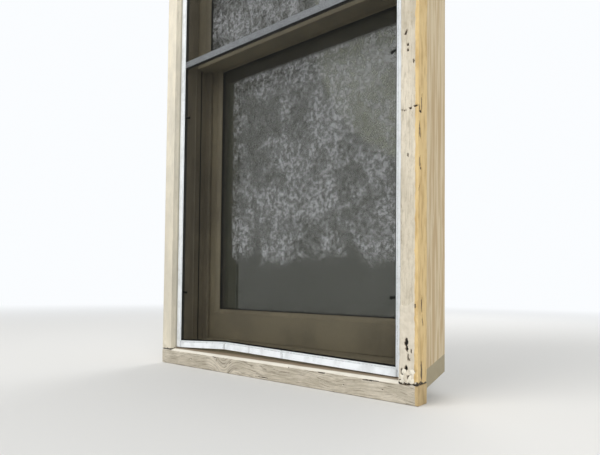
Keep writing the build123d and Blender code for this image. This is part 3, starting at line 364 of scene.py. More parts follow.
def screen_enamel(name, light, dull, inner=0.0, edge=0.0, nicks=()):
    """Baked enamel on the roll-formed screen bars, scuffed through to the grey metal.

    What lies nearer to the middle than inner, or below edge, is darkened as painted shade. Nicks lists the
    places of knocks.
    """
    paint = Finish(name, light, 0.35)
    broad = paint.cloud(paint.place, 30, 4)
    scuff = paint.cloud(paint.scaled((0.3, 1, 1)), 260, 6, 0.75)
    scratch = paint.cloud(paint.scaled((1, 1, 0.08)), 700, 3, 0.6, 0.4)
    tone = paint.mix(paint.window(broad, 0.4, 0.75), light, dull)
    tone = paint.mix(paint.window(scuff, 0.62, 0.72, 0.0, 0.75), tone, SCUFFED)
    tone = paint.mix(paint.window(scratch, 0.68, 0.76, 0.0, 0.5), tone, SCRATCHED)
    for x in nicks:
        beside = paint.math("ABSOLUTE", paint.math("SUBTRACT", paint.axis(0), x))
        ragged = paint.math("MULTIPLY_ADD", scuff, 8 * MM, beside)
        scraped = paint.window(scratch, 0.45, 0.58, 0.1, 0.9)
        knock = paint.math("MULTIPLY", paint.window(ragged, 9 * MM, 6 * MM), scraped)
        tone = paint.mix(knock, tone, KNOCKED)
    if inner:
        painted_shade = paint.math("LESS_THAN", paint.from_middle(), inner)
        tone = paint.mix(painted_shade, tone, INNER_SIDE_SHADE)
    if edge:
        painted_shade = paint.math("LESS_THAN", paint.axis(2), edge)
        tone = paint.mix(painted_shade, tone, UNDERSIDE_SHADE)
    paint.colour(tone)
    paint.gloss(paint.window(scuff, 0.5, 0.75, 0.3, 0.6))
    paint.bump(scuff, 0.05 * MM, 0.4)
    return paint.material


def insect_cloth():
    """Charcoal fibreglass cloth: threads both ways, open between them.

    It is made opaque in bands along the bars and under the crossbar as painted shade lines, and where it is
    tucked in behind them it isn't seen.
    """
    cloth = Finish("charcoal insect cloth", CLOTH_BLACK, 0.8)
    cloth.shader.inputs["Specular IOR Level"].default_value = 0.08
    pitch = 1.45 * MM
    thread_share = 0.17
    closed = []
    for index in (0, 2):
        part = cloth.math("FRACT", cloth.math("DIVIDE", cloth.axis(index), pitch))
        closed.append(cloth.math("LESS_THAN", part, thread_share))

    # Height above the bottom rail, which rises to its bend from both ends
    beyond = cloth.math("SUBTRACT", cloth.axis(0), KINK_X)
    bend_top = rail_top + KINK_RISE + 0.2 * MM
    left_run = cloth.math("MULTIPLY_ADD", beyond, KINK_RISE / (sight + KINK_X), bend_top)
    right_run = cloth.math("MULTIPLY_ADD", beyond, -KINK_RISE / (sight - KINK_X), bend_top)
    above = cloth.math("SUBTRACT", cloth.axis(2), cloth.math("MINIMUM", left_run, right_run))

    reach = cloth.from_middle()
    under_bar = cloth.math("ABSOLUTE", cloth.math("ADD", cloth.axis(2), 0.5 * MM - bar_bottom))
    # Painted shade: opaque bands above the bottom rail, beside the uprights and under the crossbar
    closed.append(cloth.math("LESS_THAN", above, 4.0 * MM))
    closed.append(cloth.math("GREATER_THAN", reach, sight - 1.2 * MM))
    closed.append(cloth.math("LESS_THAN", under_bar, 2.0 * MM))
    cover = closed[0]
    for more in closed[1:]:
        cover = cloth.math("MAXIMUM", cover, more)
    hem = cloth.math("GREATER_THAN", reach, sight - 0.2 * MM)
    tucked = cloth.math("MAXIMUM", hem, cloth.math("LESS_THAN", above, 0.0))
    cover = cloth.math("MULTIPLY", cover, cloth.math("SUBTRACT", 1.0, tucked))
    cloth.tree.links.new(cover, cloth.shader.inputs["Alpha"])
    return cloth.material


# Borders of the dust film, which is also a painted reflection, and of the painted shadows on the panes, each
# from where one side ends to where the other begins
FILM_FOOT = (0.325, 0.385)
FILM_SIDE = (-0.262, -0.248)
STILE_SHADOW = (-0.288, -0.282)
RAIL_SHADOW = (0.828, 0.814)
UPPER_PANE = (0.86, 0.9)


def window_glass():
    """Dark double pane with a strong reflection, its outer faces hazed by dust and dried rain. The haze's
    bluish white is also a painted reflection, and the shadows on the panes are painted.
    """
    glass = Finish("window glass", GLASS, 0.03, IOR=2.0)
    glass.shader.inputs["Specular IOR Level"].default_value = 0.7
    outer_faces = []
    for pane in ("upper_glass", "lower_glass"):
        away = glass.math("ABSOLUTE", glass.math("SUBTRACT", glass.axis(1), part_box(pane)[0].y))
        outer_faces.append(glass.math("LESS_THAN", away, 0.5 * MM))
    outside = glass.math("MAXIMUM", *outer_faces)
    upper = glass.window(glass.axis(2), *UPPER_PANE)
    below = glass.window(glass.axis(2), *RAIL_SHADOW)

    patches = glass.cloud(glass.scaled((1, 1, 0.8)), 9, 4, 0.65, 0.5)
    blots = glass.cloud(glass.scaled((1, 1, 0.9)), 84, 6, 0.8, 0.15)
    clusters = glass.window(blots, 0.5, 0.58, 0.0, 0.8)
    clusters = glass.math("MULTIPLY", glass.window(patches, 0.46, 0.6), clusters)
    haze = glass.window(blots, 0.4, 0.6, 0.3)
    haze = glass.math("MULTIPLY", glass.window(patches, 0.34, 0.58, 0.42), haze)
    ragged_height = glass.math("MULTIPLY_ADD", patches, 0.12, glass.axis(2))
    above_film_foot = glass.window(ragged_height, *FILM_FOOT, 0.04, 1.0)
    reached = glass.math("MULTIPLY", glass.window(glass.axis(0), *FILM_SIDE), below)
    film = glass.math("MAXIMUM", haze, clusters)
    for limit in (above_film_foot, glass.math("MAXIMUM", reached, upper), outside):
        film = glass.math("MULTIPLY", film, limit)

    lit = glass.math("MULTIPLY", glass.window(glass.axis(0), *STILE_SHADOW), below)
    shaded = glass.math("SUBTRACT", 1.0, glass.math("MAXIMUM", lit, upper))
    # The film's bluish white is dust and a painted sky reflection; the shaded parts are painted shadow and
    # let less light through
    tone = glass.mix(film, CLEAN_TINT, FILM_AND_REFLECTION_WHITE)
    glass.colour(glass.mix(shaded, tone, SHADOW_TINT))
    dulled = glass.math("MULTIPLY", glass.math("MULTIPLY", shaded, outside), 0.45)
    cloudy = glass.math("MULTIPLY_ADD", film, 0.9, dulled)
    clear = glass.math("SUBTRACT", 0.88, cloudy)
    glass.tree.links.new(clear, glass.shader.inputs["Transmission Weight"])
    return glass.material


def plain(name, colour, roughness, metallic=0.0):
    """Small hardware: one colour with a slightly uneven gloss."""
    paint = Finish(name, colour, roughness, Metallic=metallic)
    uneven = paint.cloud(paint.place, 240, 4)
    darker = tuple(0.7 * c for c in colour[:3]) + (1.0,)
    paint.colour(paint.mix(paint.window(uneven, 0.35, 0.75), colour, darker))
    paint.gloss(paint.window(uneven, 0.3, 0.7, roughness - 0.08, roughness + 0.15))
    paint.bump(uneven, 0.05 * MM, 0.3)
    return paint.material


def jamb_pine():
    """Bare pine of the jambs, its grain along the board, with painted shade inside the liners' channels."""
    wood = Finish("bare jamb pine", PINE, 0.65)
    ring = wood.cloud(wood.scaled((1, 1, 0.05)), 90, 4, 0.6, 0.6)
    fibre = wood.cloud(wood.scaled((1, 1, 0.03)), 600, 3)
    tone = wood.mix(wood.window(ring, 0.4, 0.62), PINE_LIGHT, PINE_RING)
    tone = wood.mix(wood.window(fibre, 0.5, 0.75, 0.0, 0.35), tone, PINE_FIBRE)
    # Painted shade: the jamb's face at the back of the channels
    inner_face = wood.math("LESS_THAN", wood.from_middle(), opening + 0.6 * MM)
    channel = wood.window(wood.axis(1), 113 * MM, 112 * MM)
    tone = wood.mix(wood.math("MULTIPLY", inner_face, channel), tone, PINE_CHANNEL_SHADE)
    wood.colour(tone)
    wood.bump(fibre, 0.2 * MM, 0.5)
    return wood.material


def dress(names, material):
    """Give CAD nodes their finish."""
    for name in names:
        for place in nodes[name].material_slots:
            place.material = material


def hold(*pieces):
    """Select these pieces and no others, the first one active."""
    bpy.ops.object.select_all(action="DESELECT")
    for piece in pieces:
        piece.select_set(True)
    if pieces:
        bpy.context.view_layer.objects.active = pieces[0]


def start_board(name, low, high):
    """A squared board between two corners, ready to shape."""
    hold()
    middle = [(a + b) / 2 for a, b in zip(low, high)]
    size = [b - a for a, b in zip(low, high)]
    bpy.ops.mesh.primitive_cube_add(size=1, location=middle, scale=size)
    board = bpy.context.object
    board.name = name
    bpy.ops.object.transform_apply(location=True, rotation=True, scale=True)
    return board


def open_for_editing(piece):
    hold(piece)
    bpy.ops.object.mode_set(mode="EDIT")
    bpy.ops.mesh.select_all(action="DESELECT")


def close_editing():
    bpy.ops.object.mode_set(mode="OBJECT")


def pick_edges(piece, wanted):
    """Select the edges of the piece in edit mode that a test on their two ends accepts."""
    shape = bmesh.from_edit_mesh(piece.data)
    bpy.ops.mesh.select_mode(type="EDGE")
    for edge in shape.edges:
        edge.select_set(wanted(edge.verts[0].co, edge.verts[1].co))
    bmesh.update_edit_mesh(piece.data)


def pick_faces(piece, wanted):
    """Select the faces of the piece in edit mode that a test on middle and normal accepts."""
    shape = bmesh.from_edit_mesh(piece.data)
    bpy.ops.mesh.select_mode(type="FACE")
    for face in shape.faces:
        face.select_set(wanted(face.calc_center_median(), face.normal))
    bmesh.update_edit_mesh(piece.data)


def along(index):
    """A test for edges that run along one axis."""
    others = [i for i in range(3) if i != index]
    return lambda a, b: all(abs(a[i] - b[i]) < 0.02 * abs(a[index] - b[index]) for i in others)


def longest(piece, index):
    """Length of the longest edge of the piece in edit mode along one axis."""
    test = along(index)
    shape = bmesh.from_edit_mesh(piece.data)
    ends = [(e.verts[0].co, e.verts[1].co) for e in shape.edges]
    return max((abs(a[index] - b[index]) for a, b in ends if test(a, b)), default=0.0)


def cut_finely(piece, lengths):
    """Divide the piece along each axis until its faces are about that long."""
    for index, length in enumerate(lengths):
        test = along(index)
        open_for_editing(piece)
        for _ in range(3):
            span = longest(piece, index)
            if span < 1.5 * length:
                break
            cuts = min(max(round(span / length) - 1, 1), 40)
            pick_edges(piece, lambda a, b: test(a, b) and abs(a[index] - b[index]) > span / 2)
            bpy.ops.mesh.subdivide(number_cuts=cuts)
        close_editing()


def ease_edges(piece, width):
    """Round over the sharp edges."""
    open_for_editing(piece)
    bpy.ops.mesh.select_all(action="SELECT")
    bpy.ops.mesh.bevel(offset=width, segments=2, affect="EDGES")
    close_editing()


def run_together(parts, name, pitch, passes):
    """Join overlapping parts into one body with soft edges, its faces about a pitch long."""
    hold(*parts)
    bpy.ops.object.transform_apply(location=True, rotation=True, scale=True)
    bpy.ops.object.join()
    body = bpy.context.object
    body.name = name
    remesh = body.modifiers.new("run together", "REMESH")
    remesh.mode = "VOXEL"
    remesh.voxel_size = pitch
    bpy.ops.object.modifier_apply(modifier=remesh.name)
    smooth = body.modifiers.new("soften", "SMOOTH")
    smooth.iterations = passes
    bpy.ops.object.modifier_apply(modifier=smooth.name)
    return body


def weather(piece, shape_at):
    """Move each point of a finely cut board, and note how bare and how filled it is there."""
    mesh = piece.data
    bare = mesh.attributes.new("bare", "FLOAT", "POINT")
    filler = mesh.attributes.new("filler", "FLOAT", "POINT")
    normals = [v.normal.copy() for v in mesh.vertices]
    for vertex, normal in zip(mesh.vertices, normals):
        rise, depth, fill = shape_at(vertex.co, normal)
        bare.data[vertex.index].value = depth
        filler.data[vertex.index].value = fill
        vertex.co += normal * rise
    hold(piece)
    bpy.ops.object.shade_smooth_by_angle(angle=math.radians(50))


def soft(value, low, high):
    """0 below low, 1 above high, smooth between."""
    step = min(max((value - low) / (high - low), 0.0), 1.0)
    return step * step * (3 - 2 * step)


def hole(across, up, x, z, wide, tall, lean=0.0):
    """How deep a point of the face is in an oval hole, 0 outside and 1 in its middle."""
    du = (across - x - lean * (up - z)) / wide
    dv = (up - z) / tall
    ragged = 0.35 * noise.noise(Vector((across * 420, up * 420, x * 90)))
    return 1 - soft(math.hypot(du, dv) + ragged, 0.65, 1.0)


def crack(across, up, start, end, wide, wander):
    """How deep a point of the face is in a crack between two points."""
    run = Vector(end) - Vector(start)
    along_run = Vector((across, up)) - Vector(start)
    share = min(max(along_run.dot(run) / run.length_squared, 0.0), 1.0)
    aside = (along_run - run * share).length
    bend = wander * noise.noise(Vector((across * 180, up * 180, 3.1)))
    taper = min(1.0, 4 * share, 4 * (1 - share)) * 0.6 + 0.4
    return 1 - soft(abs(aside + bend), 0.3 * wide * taper, wide * taper)


def grain_along(index, co, fine, coarse):
    """Raised grain that runs along one axis."""
    stretched = Vector(co)
    stretched[index] *= 0.06
    return noise.noise(stretched * fine) * 0.5 + noise.noise(stretched * coarse) * 0.5


# How deep the open cracks and the flaked paint go, in the casings and in the sill's nose
CRACK_DEPTH = 6 * MM
FLAKE_DEPTH = 0.45 * MM
SILL_CRACK_DEPTH = 3.5 * MM
SILL_FLAKE_DEPTH = 0.4 * MM
# A face looks along an axis where its normal's share of that axis is more than this
FACING = 0.5

# Damage in the right casing's face, as (x, z, half width, half height, lean): holes of nails, knots and rot
RIGHT_HOLES = [
    (0.3709, 0.7194, 0.0026, 0.0042, 0.5),
    (0.3746, 0.6938, 0.0024, 0.0032, 0.2),
    (0.3749, 0.6835, 0.0019, 0.0034, 0.0),
    (0.3874, 0.6585, 0.0018, 0.0030, 0.0),
    (0.3754, 0.4771, 0.0014, 0.0042, 0.0),
    (0.3735, 0.1175, 0.0040, 0.0082, 0.15),
    (0.3752, 0.1065, 0.0026, 0.0064, 0.0),
    (0.3738, 0.0692, 0.0034, 0.0056, 0.3),
    (0.3659, 0.0611, 0.0030, 0.0080, -0.1),
    (0.3793, 0.0521, 0.0034, 0.0042, 0.2),
    (0.3641, 0.0432, 0.0040, 0.0040, -0.4),
    (0.3840, 0.1020, 0.0012, 0.0044, 0.0),
    (0.3915, 0.1880, 0.0011, 0.0044, 0.0),
]
# Cracks in the same face, as (start, end, half width)
RIGHT_CRACKS = [
    ((0.3600, 0.5690), (0.3690, 0.5655), 0.0006),
    ((0.3690, 0.5655), (0.3800, 0.5682), 0.0007),
    ((0.3800, 0.5682), (0.3975, 0.5712), 0.0009),
    ((0.3600, 0.2600), (0.3608, 0.3600), 0.0010),
    ((0.3608, 0.3600), (0.3603, 0.4300), 0.0008),
    ((0.3757, 0.1120), (0.3784, 0.0755), 0.0006),
    ((0.3798, 0.1040), (0.3803, 0.0790), 0.0005),
    ((0.3660, 0.0400), (0.3816, 0.0392), 0.0011),
    ((0.3816, 0.0392), (0.3920, 0.0400), 0.0016),
    ((0.3920, 0.0400), (0.3975, 0.0445), 0.0016),
]
# Cracks in its outer side, as (start, end, half width) in depth and height
SIDE_CRACKS = [
    ((-0.0340, 0.5740), (-0.0330, 0.5600), 0.0036),
    ((-0.0330, 0.5600), (-0.0240, 0.5605), 0.0026),
    ((-0.0240, 0.5605), (-0.0220, 0.5950), 0.0036),
    ((-0.0330, 0.5400), (-0.0270, 0.5084), 0.0038),
    ((-0.0300, 0.4730), (-0.0290, 0.4503), 0.0036),
    ((-0.0290, 0.4503), (-0.0235, 0.4515), 0.0026),
    ((-0.0320, 0.4180), (-0.0345, 0.4060), 0.0022),
    ((-0.0210, 0.2080), (-0.0205, 0.1743), 0.0028),
    ((-0.0205, 0.1743), (-0.0150, 0.1500), 0.0026),
    ((-0.0215, 0.0820), (-0.0205, 0.0440), 0.0052),
    ((-0.0205, 0.0440), (-0.0330, 0.0385), 0.0034),
]
FILLED_BELOW = 0.186


def right_casing_shape(co, normal):
    """Heavily weathered board: flaked paint, open cracks, rot and lumpy filler at the foot."""
    facing_out = normal.y < -FACING
    rise = 0.25 * MM * noise.fractal(co * 60, 0.7, 2.1, 4) + 0.22 * MM * grain_along(2, co, 900, 300)
    flake = soft(noise.noise(Vector((co.x * 90, co.y * 90, co.z * 26))), 0.18, 0.26)
    rise -= FLAKE_DEPTH * flake
    depth = 0.0
    fill = 0.0
    if facing_out or normal.x < -FACING:
        edge = FILLED_BELOW + 0.35 * (co.x - opening) + 0.008 * noise.noise(co * 70)
        fill = 1 - soft(co.z, edge - 0.003, edge)
        lumps = noise.fractal(co * 95, 0.9, 2.0, 3)
        rise += fill * (0.9 + 1.1 * lumps) * MM
        foot = 1 - soft(co.z, 0.050, 0.085)
        rise += foot * (1.4 + 2.2 * noise.noise(co * 130)) * MM
    if facing_out:
        holes = [hole(co.x, co.z, *place) for place in RIGHT_HOLES]
        cracks = [crack(co.x, co.z, *place, 0.6 * MM) for place in RIGHT_CRACKS]
        depth = max(holes + cracks)
    if normal.x > FACING:
        depth = max(crack(co.y, co.z, *place, 0.8 * MM) for place in SIDE_CRACKS)
        rise += 0.35 * MM * noise.fractal(co * 40, 0.7, 2.0, 3)
    rise -= CRACK_DEPTH * depth
    # The foot's underside: raised off the sill, bare wood, partly blackened as painted shade in the gap
    if normal.z < -FACING:
        rise -= (0.9 + 1.3 * noise.noise(co * 120)) * MM
        depth = 0.5
    return rise, depth, fill


# The left casing's foot: a lump and a ragged patch of paint, placed as the holes are, and a crack
LEFT_LUMP = (-0.3867, 0.0525, 0.0095, 0.0070)
LEFT_PATCH = (-0.3700, 0.0455, 0.0130, 0.0050)
LEFT_CRACK = ((-0.3930, 0.0455), (-0.3790, 0.0465), 0.0009)


def clean_casing_shape(co, normal):
    """Sound board: faint grain under the paint and a lump of paint at the foot."""
    rise = 0.12 * MM * noise.fractal(co * 45, 0.8, 2.0, 3) + 0.08 * MM * grain_along(2, co, 700, 260)
    depth = 0.0
    if normal.y < -FACING and co.x < 0:
        lump = hole(co.x, co.z, *LEFT_LUMP)
        patch = hole(co.x, co.z, *LEFT_PATCH)
        rise += (2.6 * lump + 1.2 * patch) * MM
        depth = 0.3 * crack(co.x, co.z, *LEFT_CRACK, 0.5 * MM)
    # The foot's underside: raised off the sill, bare wood, partly blackened as painted shade in the gap
    if normal.z < -FACING:
        rise -= (0.6 + 0.8 * noise.noise(co * 150)) * MM
        depth = 0.5
    return rise, depth, 0.0


def head_casing_shape(co, normal):
    """Head board: grain along its length."""
    rise = 0.12 * MM * noise.fractal(co * 45, 0.8, 2.0, 3) + 0.1 * MM * grain_along(0, co, 700, 260)
    return rise, 0.0, 0.0


# Damage in the sill's nose
SILL_CRACKS = [
    ((-0.1830, 0.0362), (-0.1700, 0.0350), 0.0012),
    ((-0.1700, 0.0350), (-0.1600, 0.0290), 0.0008),
    ((0.1600, 0.0365), (0.1840, 0.0368), 0.0013),
    ((0.2760, 0.0352), (0.3120, 0.0362), 0.0015),
    ((0.3190, 0.0217), (0.3240, 0.0212), 0.0009),
    ((-0.0300, 0.0052), (0.0150, 0.0047), 0.0008),
]
SILL_HOLES = [
    (0.0784, 0.0372, 0.0016, 0.0012, 0.0),
    (0.2300, 0.0180, 0.0014, 0.0010, 0.0),
    (-0.2700, 0.0215, 0.0012, 0.0010, 0.0),
]


def sill_shape(co, normal):
    """Nose worn into its grain, with the knot's curved figure, splits along the top edge."""
    bell = math.exp(-(((co.x - KNOT_X) / KNOT_WIDTH) ** 2))
    bent = Vector((co.x * 0.05, co.y, co.z + KNOT_DIP * bell))
    ridges = noise.noise(bent * 620) * 0.6 + noise.noise(bent * 260) * 0.4
    rise = 0.15 * MM * noise.fractal(co * 40, 0.8, 2.0, 3)
    depth = 0.0
    if normal.y < -FACING:
        rise += 0.55 * MM * ridges
        rise -= SILL_FLAKE_DEPTH * soft(noise.noise(Vector((co.x * 25, 0, co.z * 90))), 0.2, 0.3)
        cracks = [crack(co.x, co.z, *place, 0.5 * MM) for place in SILL_CRACKS]
        depth = max(cracks + [hole(co.x, co.z, *place) for place in SILL_HOLES])
        rise -= SILL_CRACK_DEPTH * depth
    elif normal.z > FACING:
        rise += 0.2 * MM * ridges
    return rise, depth, 0.0


def make_casing(name, low, high, shape_at, fineness):
    """A casing stick: squared, eased, cut finely and weathered."""
    board = start_board(name, low, high)
    ease_edges(board, 1.2 * MM)
    cut_finely(board, fineness)
    weather(board, shape_at)
    return board


# Lumps of old filler at the foot of the right casing, as (x, z, radius)
FOOT_LUMPS = [
    (0.3700, 0.0620, 0.0056),
    (0.3695, 0.0492, 0.0070),
    (0.3853, 0.0482, 0.0078),
    (0.3870, 0.0630, 0.0058),
    (0.3640, 0.0535, 0.0036),
    (0.3775, 0.0440, 0.0042),
    (0.3900, 0.0530, 0.0040),
    (0.3672, 0.0425, 0.0036),
    (0.3625, 0.0425, 0.0030),
    (0.3930, 0.0445, 0.0036),
]


def lumpy_shape(co, normal):
    """Filler's surface: small lumps all over."""
    return (0.7 * noise.noise(co * 260) + 0.35 * noise.noise(co * 700)) * MM, 0.0, 1.0


def make_foot_filler():
    """Filler pressed over the rotten foot: flattened lumps that run into each other."""
    lumps = []
    for x, z, radius in FOOT_LUMPS:
        hold()
        bpy.ops.mesh.primitive_ico_sphere_add(
            subdivisions=4, radius=radius, location=(x, front - 0.2 * MM, z), scale=(1, 0.5, 1.1)
        )
        lumps.append(bpy.context.object)
    filler = run_together(lumps, "foot_filler", 0.5 * MM, 6)
    weather(filler, lumpy_shape)
    return filler


# Pull tabs of the screen: where their straps begin, how far the tips reach, bend inwards and hang, the
# grip's radius, the foot's size, and the strap's thickness and width
TAB_HEIGHTS = (0.2025, 0.7035)
TAB_REACH = 17 * MM
TAB_BEND = 3.7 * MM
TAB_SAG = 1.2 * MM
TAB_GRIP = 4 * MM
TAB_FOOT = (1.4 * MM, 7 * MM, 5 * MM)
TAB_STRAP = (1.6 * MM, 4.5 * MM)


def make_pull_tabs():
    """Four moulded tabs on the uprights' inner sides: foot, strap and round grip run into one another."""
    root_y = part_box("screen_pull_tabs")[0].y + 0.6 * MM
    parts = []
    for side in (-1, 1):
        for height in TAB_HEIGHTS:
            start = Vector((side * sight, root_y, height))
            end = start + Vector((-side * (TAB_REACH - TAB_GRIP), TAB_BEND, -TAB_SAG))
            run = end - start
            foot = start + Vector((-side * TAB_FOOT[0] / 2, 3 * MM, 0))
            hold()
            bpy.ops.mesh.primitive_cube_add(size=1, location=foot, scale=TAB_FOOT)
            parts.append(bpy.context.object)
            hold()
            bpy.ops.mesh.primitive_cube_add(
                size=1,
                location=(start + end) / 2,
                rotation=run.to_track_quat("X", "Z").to_euler(),
                scale=(run.length, *TAB_STRAP),
            )
            parts.append(bpy.context.object)
            hold()
            bpy.ops.mesh.primitive_uv_sphere_add(segments=32, ring_count=16, radius=TAB_GRIP, location=end)
            bpy.ops.transform.resize(value=(1.0, 0.55, 1.0), center_override=end)
            parts.append(bpy.context.object)
    tabs = run_together(parts, "moulded_pull_tabs", 0.4 * MM, 4)
    bpy.ops.object.shade_smooth()
    return tabs


# Sill: its slope, the slab's thickness, and the drip kerf under the nose with its middle, half width, depth
SILL_SLOPE = math.tan(math.radians(14.0))
SILL_THICKNESS = 38 * MM
KERF_MIDDLE = front + 10 * MM
KERF_HALF = 2 * MM
KERF_DEPTH = 4 * MM


def make_sill_nose():
    """The nose: squared, with the drip kerf below and the slope between the casings, its front eased."""
    nose = start_board("weathered_sill", (-outer, front, 0), (outer, 0, nose_top))
    open_for_editing(nose)
    for x in (-opening, opening):
        bpy.ops.mesh.select_all(action="SELECT")
        bpy.ops.mesh.bisect(plane_co=(x, 0, 0), plane_no=(1, 0, 0))
    for y in (KERF_MIDDLE - KERF_HALF, KERF_MIDDLE + KERF_HALF):
        bpy.ops.mesh.select_all(action="SELECT")
        bpy.ops.mesh.bisect(plane_co=(0, y, 0), plane_no=(0, 1, 0))
    pick_faces(nose, lambda c, n: n.z < -0.9 and abs(c.y - KERF_MIDDLE) < KERF_HALF)
    bpy.ops.mesh.extrude_region_move(TRANSFORM_OT_translate={"value": (0, 0, KERF_DEPTH)})
    pick_faces(nose, lambda c, n: n.z > 0.9 and c.z > nose_top - MM and abs(c.x) < opening)
    bpy.ops.mesh.extrude_region_move(TRANSFORM_OT_translate={"value": (0, 0, 0)})
    shape = bmesh.from_edit_mesh(nose.data)
    for vertex in shape.verts:
        if vertex.select:
            vertex.co.z += (vertex.co.y - front) * SILL_SLOPE
    bmesh.update_edit_mesh(nose.data)
    bpy.ops.mesh.select_all(action="SELECT")
    bpy.ops.mesh.remove_doubles(threshold=0.01 * MM)
    close_editing()
    open_for_editing(nose)
    pick_edges(nose, lambda a, b: abs(a.y - front) < MM and abs(b.y - front) < MM and abs(a.z - b.z) < MM)
    bpy.ops.mesh.bevel(offset=1.8 * MM, segments=3, affect="EDGES")
    close_editing()
    cut_finely(nose, (2.6 * MM, 3 * MM, 1.5 * MM))
    weather(nose, sill_shape)
    return nose


def make_sill_slab():
    """The slab behind the nose, between the jambs' outer sides and on the same slope."""
    half_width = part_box("right_jamb")[1].x
    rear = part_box("sill")[1].y
    slab = start_board("sill_slab", (-half_width, 0.2 * MM, 0), (half_width, rear, SILL_THICKNESS))
    open_for_editing(slab)
    shape = bmesh.from_edit_mesh(slab.data)
    for vertex in shape.verts:
        vertex.co.z += (vertex.co.y - front) * SILL_SLOPE
    bmesh.update_edit_mesh(slab.data)
    close_editing()
    cut_finely(slab, (12 * MM, 12 * MM, 12 * MM))
    weather(slab, sill_shape)
    return slab


def make_sill_board():
    """The sill: nose and slab as one piece."""
    nose = make_sill_nose()
    hold(nose, make_sill_slab())
    bpy.ops.object.join()
    return nose


def finish_piece(piece, material, slot, *replaced):
    """Paint a new piece, let it ride on the frame and hide any plain node that it stands for."""
    piece.data.materials.clear()
    piece.data.materials.append(material)
    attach(piece, "frame")
    if replaced:
        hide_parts(*replaced)


def fit_casing(node, name, shape_at, material, fineness):
    """Make the weathered board that stands for a plain casing; fineness is in millimetres."""
    board = make_casing(name, *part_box(node), shape_at, [length * MM for length in fineness])
    finish_piece(board, material, "casing_paint", node)


# Casings and sill
worn_paint = worn_casing_paint()
clean_paint = clean_casing_paint()
fit_casing("right_casing", "right_weathered_casing", right_casing_shape, worn_paint, (1.6, 1.7, 2.2))
finish_piece(make_foot_filler(), filler_paint(), "casing_paint")
fit_casing("left_casing", "left_painted_casing", clean_casing_shape, clean_paint, (2.6, 5, 4))
fit_casing("head_casing", "head_painted_casing", head_casing_shape, clean_paint, (5, 5, 5))
finish_piece(make_sill_board(), weathered_sill_paint(), "sill_wood", "sill")

# Sashes, stops and liners. The edge of the stiles' rebates is painted black as shade, and so are the liners'
# channels
sash_nodes = ["upper_top_rail", "lower_bottom_rail"]
for sash in ("upper", "lower"):
    sash_nodes += [f"{sash}_meeting_rail", f"{sash}_glazing_beads"]
dress(sash_nodes, bronze_paint("bronze sash paint", BRONZE, BRONZE_DARK))
stiles = [n for n in nodes if n.endswith("_stile") and "screen" not in n]
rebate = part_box("lower_right_stile")[0].x + 0.2 * MM
dress(stiles, bronze_paint("bronze stile paint", BRONZE, BRONZE_DARK, rebate=rebate))
stops = [n for n in nodes if n.endswith("_stop")]
dress(stops, bronze_paint("bronze stop paint", STOP_BROWN, BRONZE_DARK, 0.5))
liners = ["left_jamb_liner", "right_jamb_liner"]
dress(liners, bronze_paint("brown liner vinyl", LINER_BROWN, LINER_DARK, 0.38, hollow=346.5 * MM))

# Insect screen
white = (WHITE_ENAMEL, WHITE_ENAMEL_DULL)
screen_rails = ["screen_top_rail", "screen_bottom_rail"]
dress(screen_rails, screen_enamel("white screen enamel", *white, nicks=(-0.160, -0.068, 0.040)))
screen_stiles = ["left_screen_stile", "right_screen_stile"]
dress(screen_stiles, screen_enamel("white stile enamel", *white, inner=sight + 0.2 * MM))
# The crossbar's lowest 1.5 mm gets painted shade
crossbar_edge = bar_bottom + 1.5 * MM
dress(
    ["screen_crossbar"],
    screen_enamel("grey crossbar enamel", GREY_ENAMEL, GREY_ENAMEL_DULL, edge=crossbar_edge),
)
dress(["screen_mesh"], insect_cloth())
tab_plastic = plain("black tab plastic", srgb(12, 12, 12), 0.6)
tab_plastic.node_tree.nodes["Principled BSDF"].inputs["Specular IOR Level"].default_value = 0.15
finish_piece(make_pull_tabs(), tab_plastic, "black_plastic", "screen_pull_tabs")

dress(["upper_glass", "lower_glass"], window_glass())
dress(["left_jamb", "right_jamb", "head_jamb"], jamb_pine())

# Small parts: name of the finish, colour, roughness, metallic, and the nodes that have it
seals = ["upper_glazing_gasket", "lower_glazing_gasket"]
seals += ["head_weatherstrip", "meeting_weatherstrip", "sill_weatherstrip"]
mouldings = ["screen_corner_keys", "upper_balance_shoes", "lower_balance_shoes"]
screws = ["casing_nails", "jamb_screws", "balance_screws", "lock_screws", "keeper_screws"]
rods = ["upper_balance_rods", "lower_balance_rods"]
hardware = ["lock_base", "lock_cam", "lock_keeper", "sash_lifts"]
SMALL_PARTS = [
    ("black vinyl", srgb(30, 30, 29), 0.55, 0.0, seals),
    ("white vinyl spline", srgb(222, 226, 228), 0.5, 0.0, ["screen_spline"]),
    ("black moulded plastic", srgb(24, 24, 24), 0.4, 0.0, mouldings),
    ("dull spacer bar", srgb(120, 120, 116), 0.45, 0.8, ["upper_glass_spacer", "lower_glass_spacer"]),
    ("zinc steel", srgb(168, 168, 164), 0.35, 1.0, screws + rods),
    ("grimed tube", srgb(52, 50, 45), 0.6, 0.0, ["upper_balance_tubes", "lower_balance_tubes"]),
    ("bronzed hardware", srgb(96, 82, 60), 0.35, 0.8, hardware),
]
for name, colour, roughness, metallic, names in SMALL_PARTS:
    dress(names, plain(name, colour, roughness, metallic))

# Stage: pale floor that runs out into a bright background, three soft lamps
BACKGROUND = (0.96, 0.98, 1.0, 1.0)
FLOOR_ENDS = (1.4, 5.0)


def background_strength(tree):
    """White where it is seen, directly, in gloss or through glass, and dimmer as a light."""
    rays = tree.nodes.new("ShaderNodeLightPath")
    seen = rays.outputs["Is Camera Ray"]
    for other in ("Is Glossy Ray", "Is Transmission Ray"):
        either = tree.nodes.new("ShaderNodeMath")
        either.operation = "MAXIMUM"
        tree.links.new(seen, either.inputs[0])
        tree.links.new(rays.outputs[other], either.inputs[1])
        seen = either.outputs[0]
    strength = tree.nodes.new("ShaderNodeMapRange")
    strength.inputs["To Min"].default_value = 0.55
    strength.inputs["To Max"].default_value = 1.0
    tree.links.new(seen, strength.inputs["Value"])
    return strength.outputs[0]


